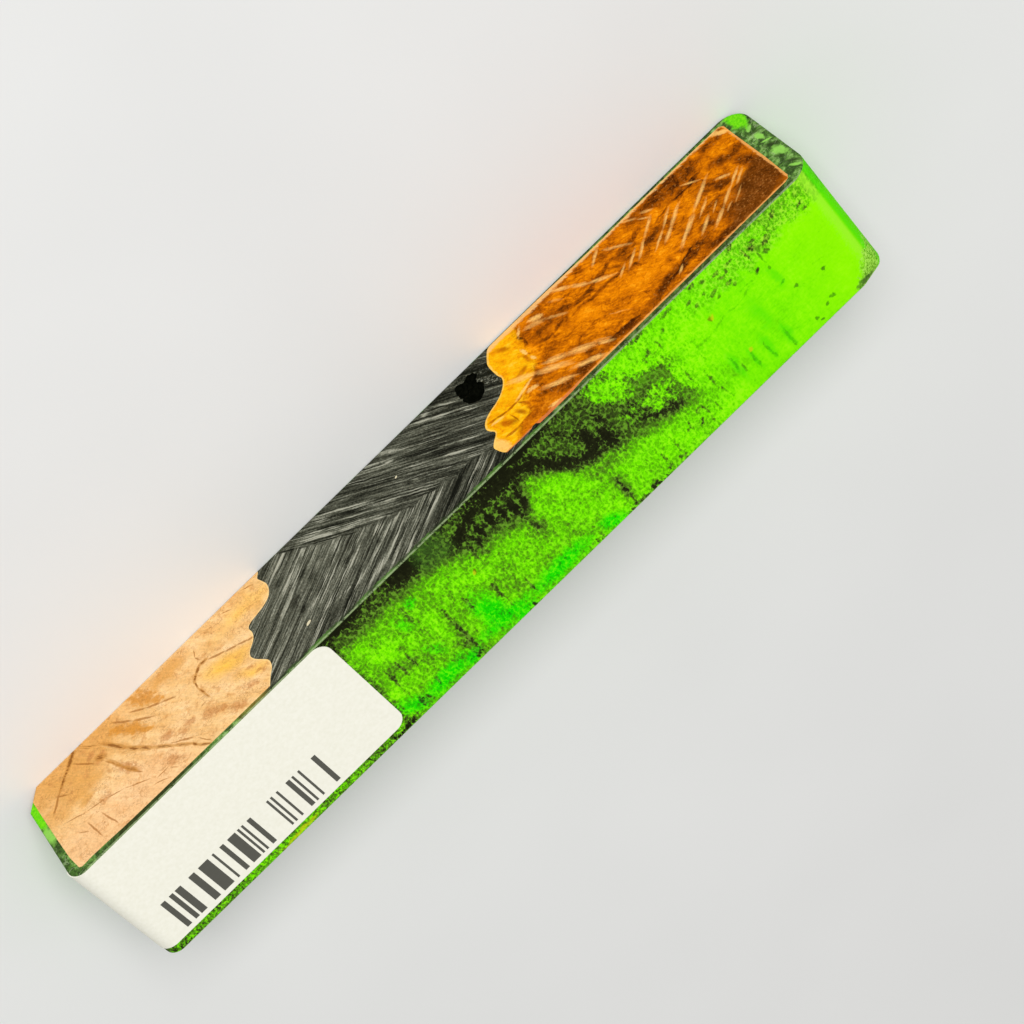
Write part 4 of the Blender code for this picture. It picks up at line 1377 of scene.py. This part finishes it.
def orange_grains(finish):
    """The noises of the orange burl, kept on the finish for the steps that share them."""
    finish.loose = finish.warped(finish.place, 0.35, 0.9)
    finish.wavy = finish.warped(finish.place, 1.4, 0.7, 3.0)
    finish.looser = finish.warped(finish.place, 3.0, 0.3, 3.0)
    finish.figure = finish.grain(finish.looser, 0.34, 4.0, 0.6, 0.7)
    curly_space = finish.aligned(finish.looser, (2.6, 2.0, 0.5), (0.0, math.radians(38.0), 0.0))
    finish.curls = finish.grain(curly_space, 1.0, 4.0, 0.65)
    finish.fibre = finish.sanded_grain(finish.place, FALLING, 1.6, 0.2, 3.0, 0.7)
    finish.cross_fibre = finish.sanded_grain(finish.place, SCRATCHES_RISE, 1.6, 0.2, 3.0, 0.7)
    finish.pores = finish.grain(finish.place, 3.0, 4.0, 0.75)
    finish.flames = finish.grain(finish.warped(finish.place, 3.0, 0.4, 2.0), 0.5, 3.0, 0.55)


def heartwood(finish, dark):
    """Orange to red-brown, lit in the middle and darker in flames and veins."""
    figure, curls, flames = finish.figure, finish.curls, finish.flames
    bright = finish.spread(BURL_BRIGHT, 0.0, 0.9, finish.wavy)
    veins = finish.drawn(BURL_VEINS, (curls - MIDDLE) * 0.8, 0.05, 0.6, finish.wavy)
    swirls = finish.lines_of(finish.grain(finish.looser, 0.5, 2.0), 0.03)
    restless = ((curls - MIDDLE) * 1.0 + (flames - MIDDLE) * 0.9) * (1 - bright * 0.6)
    warmth = 0.56 + (figure - MIDDLE) * 0.7 + restless
    warmth = warmth + bright * 0.22 - dark * 0.36 - veins * 0.3 - swirls * 0.14
    return finish.stops(
        warmth + (finish.pores - MIDDLE) * 0.36,
        [(0, 70, 28, 0), (0.2, 112, 54, 1), (0.4, 166, 84, 0), (0.58, 206, 112, 0), (0.76, 238, 138, 0),
         (0.95, 254, 170, 26)],
    )


def sapwood(finish):
    """The yellow along the live edge, and how much of it shows."""
    edge = finish.edge_at(finish.z, SAPWOOD_EDGE, (0.0, HEIGHT), (SAPWOOD_LOW, SAPWOOD_HIGH))
    frayed = finish.x - edge + (finish.figure - MIDDLE) * 2.5 + (finish.pores - MIDDLE) * 2.2
    blush = finish.grain(finish.warped(finish.place, 1.5, 0.6, 3.0), 0.7, 3.0, 0.65)
    sap = finish.stops(
        finish.curls * 0.4 + blush * 0.45 + finish.pores * 0.15,
        [(0.36, 222, 124, 4), (0.45, 244, 164, 4), (0.54, 252, 188, 8), (0.68, 255, 208, 70)],
    )
    live_rim = finish.spread(ORANGE_RIM, 0.25, 0.6, finish.place)
    return finish.over(sap, (255, 212, 112), live_rim * 0.6), finish.within(frayed, -0.7, 1.2)


# %% The orange burl
def dusty(finish, strokes, grain):
    """Scratches: a wide soft trace of dust and a bright broken core."""
    mark = finish.marks(strokes)
    wide = finish.within(mark + (grain - MIDDLE), 0.1, 0.5) * 0.45
    bright_core = finish.within(mark + (grain - MIDDLE) * 1.4, 0.32, 0.8)
    dust = wide.at_least(bright_core * 0.9) * finish.within(mark, 0.0, 0.15)
    return dust * finish.within(finish.pores, 0.3, 0.5, 0.6, 1.0)


def orange_burl_wood():
    finish = Finish("orange_burl_wood")
    orange_grains(finish)
    x, z, pores, curls, flames = finish.x, finish.z, finish.pores, finish.curls, finish.flames
    dark = finish.drawn(BURL_DARK, (curls - MIDDLE) * 1.2, 0.0, 0.7, finish.wavy)
    seams = finish.drawn(SAP_SEAMS, (pores - MIDDLE) * 1.0, 0.05, 0.6)
    seam_colour = finish.stops(
        pores * 0.5 + flames * 0.5, [(0.4, 134, 62, 0), (0.54, 188, 98, 2), (0.66, 228, 138, 18)]
    )
    cream = finish.drawn(BURL_CREAM, (pores - MIDDLE) * 1.0, 0.05, 0.6)
    falling = dusty(finish, FALLING_SCRATCHES, finish.fibre)
    scratches = falling.at_least(dusty(finish, RISING_SCRATCHES, finish.cross_fibre))
    in_corner = finish.drawn(BURL_CORNER, pores - MIDDLE, 0.0, 0.5, finish.wavy)
    corner_brown = finish.stops(
        pores * 0.6 + flames * 0.4, [(0.36, 70, 32, 1), (0.52, 106, 54, 5), (0.68, 150, 90, 36)]
    )
    rim_low = finish.within(z + (curls - MIDDLE) * 1.6 + (pores - MIDDLE) * 0.8, 1.3, 0.9)
    rim_high = finish.within(z + (curls - MIDDLE) * 0.5, 18.2, 18.4)
    rim_end = finish.within(x + (curls - MIDDLE) * 0.8, -60.95, -61.15)
    rim_colour = finish.over((216, 124, 72), (242, 172, 92), finish.within(x, -22.0, -28.0))
    crumbs = finish.within(finish.grain(finish.place, 2.6, 2.0), 0.58, 0.68) * finish.within(dark, 0.3, 0.7)
    wood = finish.layered(
        heartwood(finish, dark),
        sapwood(finish),
        (seam_colour, seams * 0.85),
        ((253, 202, 112), cream * 0.8),
        (corner_brown, in_corner * 0.9),
        ((254, 198, 108), scratches * 0.85),
        ((250, 198, 124), rim_low * 0.85),
        (rim_colour, rim_high.at_least(rim_end) * 0.8),
        ((176, 116, 52), crumbs * 0.6),
    )
    finish.give(
        Base_Color=finish.shaded(wood, 0.96 + (finish.fibre - MIDDLE) * 0.4 + (pores - MIDDLE) * 0.4),
        Roughness=finish.within(finish.fibre, 0.3, 0.7, 0.55, 0.4),
        Specular_IOR_Level=LOW_GLOSS,
        Normal=finish.relief(finish.fibre * 0.5 + curls * 0.2 + scratches * 0.4, 0.35, 0.12),
    )
    return finish.material


orange_material = orange_burl_wood()

# %% [markdown]
# ## The paper and the open bubble
#
# The label is thermal paper: nearly white, faintly warm, very slightly uneven. It carries one generic row
# of printed bars whose widths come from noise on a ladder of cells, so they stand for nothing. The bubble
# that the disc opened is black and dull inside: its wall is painted nearly black, partly the dark resin and
# partly painted shade in the pocket.

# %% Paper and bubble
BARS_FROM, BARS_TO = 32.4, 59.8
BARS_LOW, BARS_HIGH = 2.1, 8.0
BAR_CELL = 0.345
BAR_CHANCE = 0.46
PAPER_RISE = 0.15


def label_paper():
    finish = Finish("label_paper")
    x, y, z = finish.x, finish.y, finish.z
    fleck = finish.grain(finish.place, 1.8, 3.0)
    tooth = finish.grain(finish.place, 14.0, 2.0)
    paper = finish.stops(fleck, [(0.3, 240, 238, 222), (0.7, 246, 244, 230)])
    cell = finish.maths("FLOOR", x / BAR_CELL)
    chance = finish.node("ShaderNodeTexWhiteNoise", {"noise_dimensions": "1D"}, {"W": cell})
    bars = chance.above(BAR_CHANCE)
    inside = x.above(BARS_FROM) * (BARS_TO - x).above(0.0) * y.above(BARS_LOW) * (BARS_HIGH - y).above(0.0)
    printed = bars * inside * finish.within(z, HEIGHT, HEIGHT + PAPER_RISE)
    finish.give(
        Base_Color=finish.over(paper, (22, 23, 14), printed),
        Roughness=0.55,
        Specular_IOR_Level=0.03,
        Normal=finish.relief(tooth, 0.12, 0.05),
    )
    return finish.material


def bubble_wall_and_shade():
    finish = Finish("bubble_wall_and_shade")
    rough = finish.grain(finish.place, 2.2, 3.0, 0.6)
    # Painted shade: the wall is nearly black, partly the dark resin and partly shade inside the pocket.
    finish.give(
        Base_Color=finish.stops(rough, [(0.4, 4, 5, 2), (0.7, 14, 15, 9)]),
        Roughness=0.9,
        Specular_IOR_Level=LOW_GLOSS,
        Normal=finish.relief(rough, 0.5, 0.2),
    )
    return finish.material


def studio_sheet():
    finish = Finish("studio_sheet")
    weave = finish.grain(finish.place, 0.02, 2.0)
    finish.give(
        Base_Color=finish.stops(weave, [(0.3, 226, 226, 224), (0.7, 230, 230, 228)]),
        Roughness=0.8,
    )
    return finish.material


paper_material = label_paper()
bubble_material = bubble_wall_and_shade()
floor.data.materials.append(studio_sheet())

# %% [markdown]
# ## Cutting the pieces
#
# Each burl block is trimmed by the bar, and the bar is cut by both blocks, so wood and resin meet without
# a gap. The resin also loses the sanded corner and the bubble, whose lumpy lobes overlap.

# %% The burl, trimmed flush
PALE_LIVE_RANGE = (15.0, 31.0)
ORANGE_LIVE_RANGE = (-24.0, -9.0)
FLAT_ENOUGH = 0.9998
FLAT_WAYS = (
    Vector((1.0, 0.0, 0.0)),
    Vector((0.0, 1.0, 0.0)),
    Vector((0.0, 0.0, 1.0)),
    Vector((LOWER_FLAT_UP, 0.0, -LOWER_FLAT_ALONG)).normalized(),
    facet_way(),
)


def round_faces_smooth(item):
    """Smooth shading for the rounded edges only, so that the flat sides stay flat."""
    for face in item.data.polygons:
        face.use_smooth = all(abs(face.normal.dot(way)) < FLAT_ENOUGH for way in FLAT_WAYS)


def trimmed(block, name):
    combine(block, "INTERSECT", bar_form)
    piece = settled(block, name)
    block.modifiers.clear()
    round_faces_smooth(piece)
    print(name, len(piece.data.polygons), "faces")
    return piece


pale_block = burl_block("pale", PALE_LIVE_EDGE, PALE_REST, PALE_LIVE_RANGE, pale_material)
orange_block = burl_block("orange", ORANGE_LIVE_EDGE, ORANGE_REST, ORANGE_LIVE_RANGE, orange_material)
pale_burl = trimmed(pale_block, "pale_burl_piece")
orange_burl = trimmed(orange_block, "orange_burl_piece")

# %% [markdown]
# The bubble is cut as a real pocket, so that its depth gives real shade, and its wall is painted nearly
# black as well, partly the dark resin and partly painted shade. Balls with lumps from noise overlap, and a
# wall of resin presses one side of them flat. Each lobe has its place in X and Z, its half width, its half
# height and its depth.

# %% The bubble
BUBBLES = (
    (-14.2, 5.2, 1.65, 1.75, 1.3), (-14.45, 2.9, 0.85, 0.95, 0.9), (-13.55, 2.75, 1.1, 1.15, 1.0),
    (-15.25, 2.5, 0.95, 1.0, 0.8), (-13.7, 3.8, 1.2, 1.0, 0.9), (-14.8, 3.2, 0.9, 0.9, 0.8),
)
BUBBLE_SUBDIVISIONS = 5
BUBBLE_WALL = -12.5
BUBBLE_WALL_LEAN = 0.15
BUBBLE_LUMPS = 0.22
BUBBLE_LUMP_SIZE = 1.8
LUMP_SEED_STEP = 7.0
LUMP_SEED = (3.0, 1.0)
BUBBLE_REACH = 1.5
BUBBLE_SKIN = 0.005
BUBBLE_DEEPEST = 2.0


def bubble_cutter(index, bubble):
    x, z, half_width, half_height, depth = bubble
    form = bmesh.new()
    bmesh.ops.create_icosphere(form, subdivisions=BUBBLE_SUBDIVISIONS, radius=1.0)
    seed = Vector((index * LUMP_SEED_STEP, *LUMP_SEED))
    for vert in form.verts:
        vert.co *= 1.0 + noise.noise(vert.co * BUBBLE_LUMP_SIZE + seed) * BUBBLE_LUMPS
    bmesh.ops.scale(form, vec=(half_width, depth, half_height), verts=form.verts)
    bmesh.ops.translate(form, vec=(x, FRONT, z), verts=form.verts)
    for vert in form.verts:
        past_wall = max(vert.co.x - BUBBLE_WALL, 0.0)
        vert.co.x -= past_wall * (1.0 - BUBBLE_WALL_LEAN)
    return object_from(form, f"bubble_{index}")


def in_a_bubble(centre):
    near = [
        math.hypot((centre.x - x) / half_width, (centre.z - z) / half_height) < BUBBLE_REACH
        for x, z, half_width, half_height, depth in BUBBLES
    ]
    return any(near) and FRONT + BUBBLE_SKIN < centre.y < FRONT + BUBBLE_DEEPEST


# %% The resin, cut by the burl, the bubble and the sander
SANDED_FACING = 0.35
SANDED_LEAN = 0.4
POCKET_DEPTH = 2.1
POCKET_FACING = 0.3
SAWN_SLOT, SANDED_SLOT, BUBBLE_SLOT = 0, 1, 2


def slot_of(centre, normal):
    """Which of the resin's materials a face shows."""
    if in_a_bubble(centre):
        return BUBBLE_SLOT
    faces_sander = -normal.y > SANDED_FACING and -normal.y > SANDED_LEAN * normal.z
    in_pocket = centre.y > FRONT + POCKET_DEPTH or normal.y > POCKET_FACING
    return SANDED_SLOT if faces_sander and not in_pocket else SAWN_SLOT


def cast_resin():
    cutters = [bubble_cutter(index, bubble) for index, bubble in enumerate(BUBBLES)]
    cutters.append(facet_cutter())
    for cutter in (pale_block, orange_block, *cutters):
        combine(bar_form, "DIFFERENCE", cutter)
    resin = settled(bar_form, "resin_piece")
    round_faces_smooth(resin)
    resin.data.materials.clear()
    for material in (resin_sawn_material, resin_sanded_material, bubble_material):
        resin.data.materials.append(material)
    for face in resin.data.polygons:
        face.material_index = slot_of(face.center / MM, face.normal)
        if face.material_index == BUBBLE_SLOT:
            face.use_smooth = True
    throw_away(*cutters)
    print("resin", len(resin.data.polygons), "faces")
    return resin


resin = cast_resin()
throw_away(pale_block, orange_block, bar_form)

# %% [markdown]
# ## The label
#
# The label lies on the sawn side and folds over the rounded end. It follows a path, so Geometry Nodes
# sweep a thin rectangle along it and then draw in its sides near the start, for the round corners.

# %% Geometry Nodes: paper along a path
LABEL_START = 21.05
LABEL_RIDGE_SIDE = -10.2
LABEL_OUTER_SIDE = 8.8
LABEL_CORNER = 1.9
LABEL_THICKNESS = 0.12
LABEL_TAIL = 0.3
LABEL_MERGE = 0.001
QUARTER = math.radians(90.0)
CORNER_STEPS = 14
FLAT_STEPS = 10
FOLD_STEPS = 18


def label_path():
    """The middle line of the paper, from its free end over the fold, in X and Z."""
    rise = HEIGHT + LABEL_THICKNESS / 2
    points = []
    for step in range(CORNER_STEPS):
        angle = QUARTER * step / CORNER_STEPS
        points.append((LABEL_START + LABEL_CORNER * (1.0 - math.cos(angle)), rise))
    fold_x = LENGTH / 2 - LABEL_END_ROUND
    flat = fold_x - LABEL_START - LABEL_CORNER
    for step in range(FLAT_STEPS):
        points.append((LABEL_START + LABEL_CORNER + flat * step / FLAT_STEPS, rise))
    radius = rise - HEIGHT + LABEL_END_ROUND
    fold_z = HEIGHT - LABEL_END_ROUND
    for step in range(FOLD_STEPS + 1):
        angle = QUARTER * step / FOLD_STEPS
        points.append((fold_x + radius * math.sin(angle), fold_z + radius * math.cos(angle)))
    points.append((fold_x + radius, fold_z - LABEL_TAIL))
    form = bmesh.new()
    middle = (LABEL_RIDGE_SIDE + LABEL_OUTER_SIDE) / 2
    verts = [form.verts.new((x, middle, z)) for x, z in points]
    for vert, following in zip(verts, verts[1:]):
        form.edges.new((vert, following))
    return object_from(form, "label_path")


def label_tree():
    group = new_shape_tree(
        "label_sheet", {"Start": 0.0, "Middle": 0.0, "Half width": 0.01, "Corner": 0.001,
                        "Thickness": 0.0001},
    )
    tree = Tree(group)
    given = inputs_of(tree)
    path = tree.node("GeometryNodeMeshToCurve", {}, {"Mesh": given["Geometry"]})
    section = tree.node(
        "GeometryNodeCurvePrimitiveQuadrilateral", {},
        {"Width": given["Half width"] * 2.0, "Height": given["Thickness"]},
    )
    sheet = tree.node(
        "GeometryNodeCurveToMesh", {}, {"Curve": path, "Profile Curve": section, "Fill Caps": True}
    )
    place = tree.node("GeometryNodeInputPosition")
    x, y = tree.parts(place)[:2]
    left = 1.0 - ((x - given["Start"]) / given["Corner"]).at_least(0.0).at_most(1.0)
    rise = tree.maths("SQRT", (1.0 - left * left).at_least(0.0))
    narrowed = given["Corner"] * (1.0 - rise) / given["Half width"]
    shift = tree.node("ShaderNodeCombineXYZ", {}, {"Y": (given["Middle"] - y) * narrowed})
    drawn_in = tree.node("GeometryNodeSetPosition", {}, {"Geometry": sheet, "Offset": shift})
    end_shape_tree(tree, drawn_in, given["Material"])
    return group


def stick_label():
    path = label_path()
    values = {
        "Start": LABEL_START * MM,
        "Middle": (LABEL_RIDGE_SIDE + LABEL_OUTER_SIDE) / 2 * MM,
        "Half width": (LABEL_OUTER_SIDE - LABEL_RIDGE_SIDE) / 2 * MM,
        "Corner": LABEL_CORNER * MM,
        "Thickness": LABEL_THICKNESS * MM,
    }
    shaped_by(path, label_tree(), values, paper_material)
    label = settled(path, "label_piece")
    throw_away(path)
    faces_out(label, LABEL_MERGE * MM)
    round_faces_smooth(label)
    print("label", len(label.data.polygons), "faces")
    return label


label = stick_label()

# %% [markdown]
# ## On the imported model
#
# Every piece rides on the model's one body and stands for the node whose shape it refines.

# %% Ride and replace
for piece, node, slot in (
    (resin, "resin_casting", "swirled_resin"),
    (pale_burl, "pale_burl", "pale_burl_wood"),
    (orange_burl, "orange_burl", "orange_burl_wood"),
    (label, "paper_label", "label_paper"),
):
    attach(piece, "root")
    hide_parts(node)
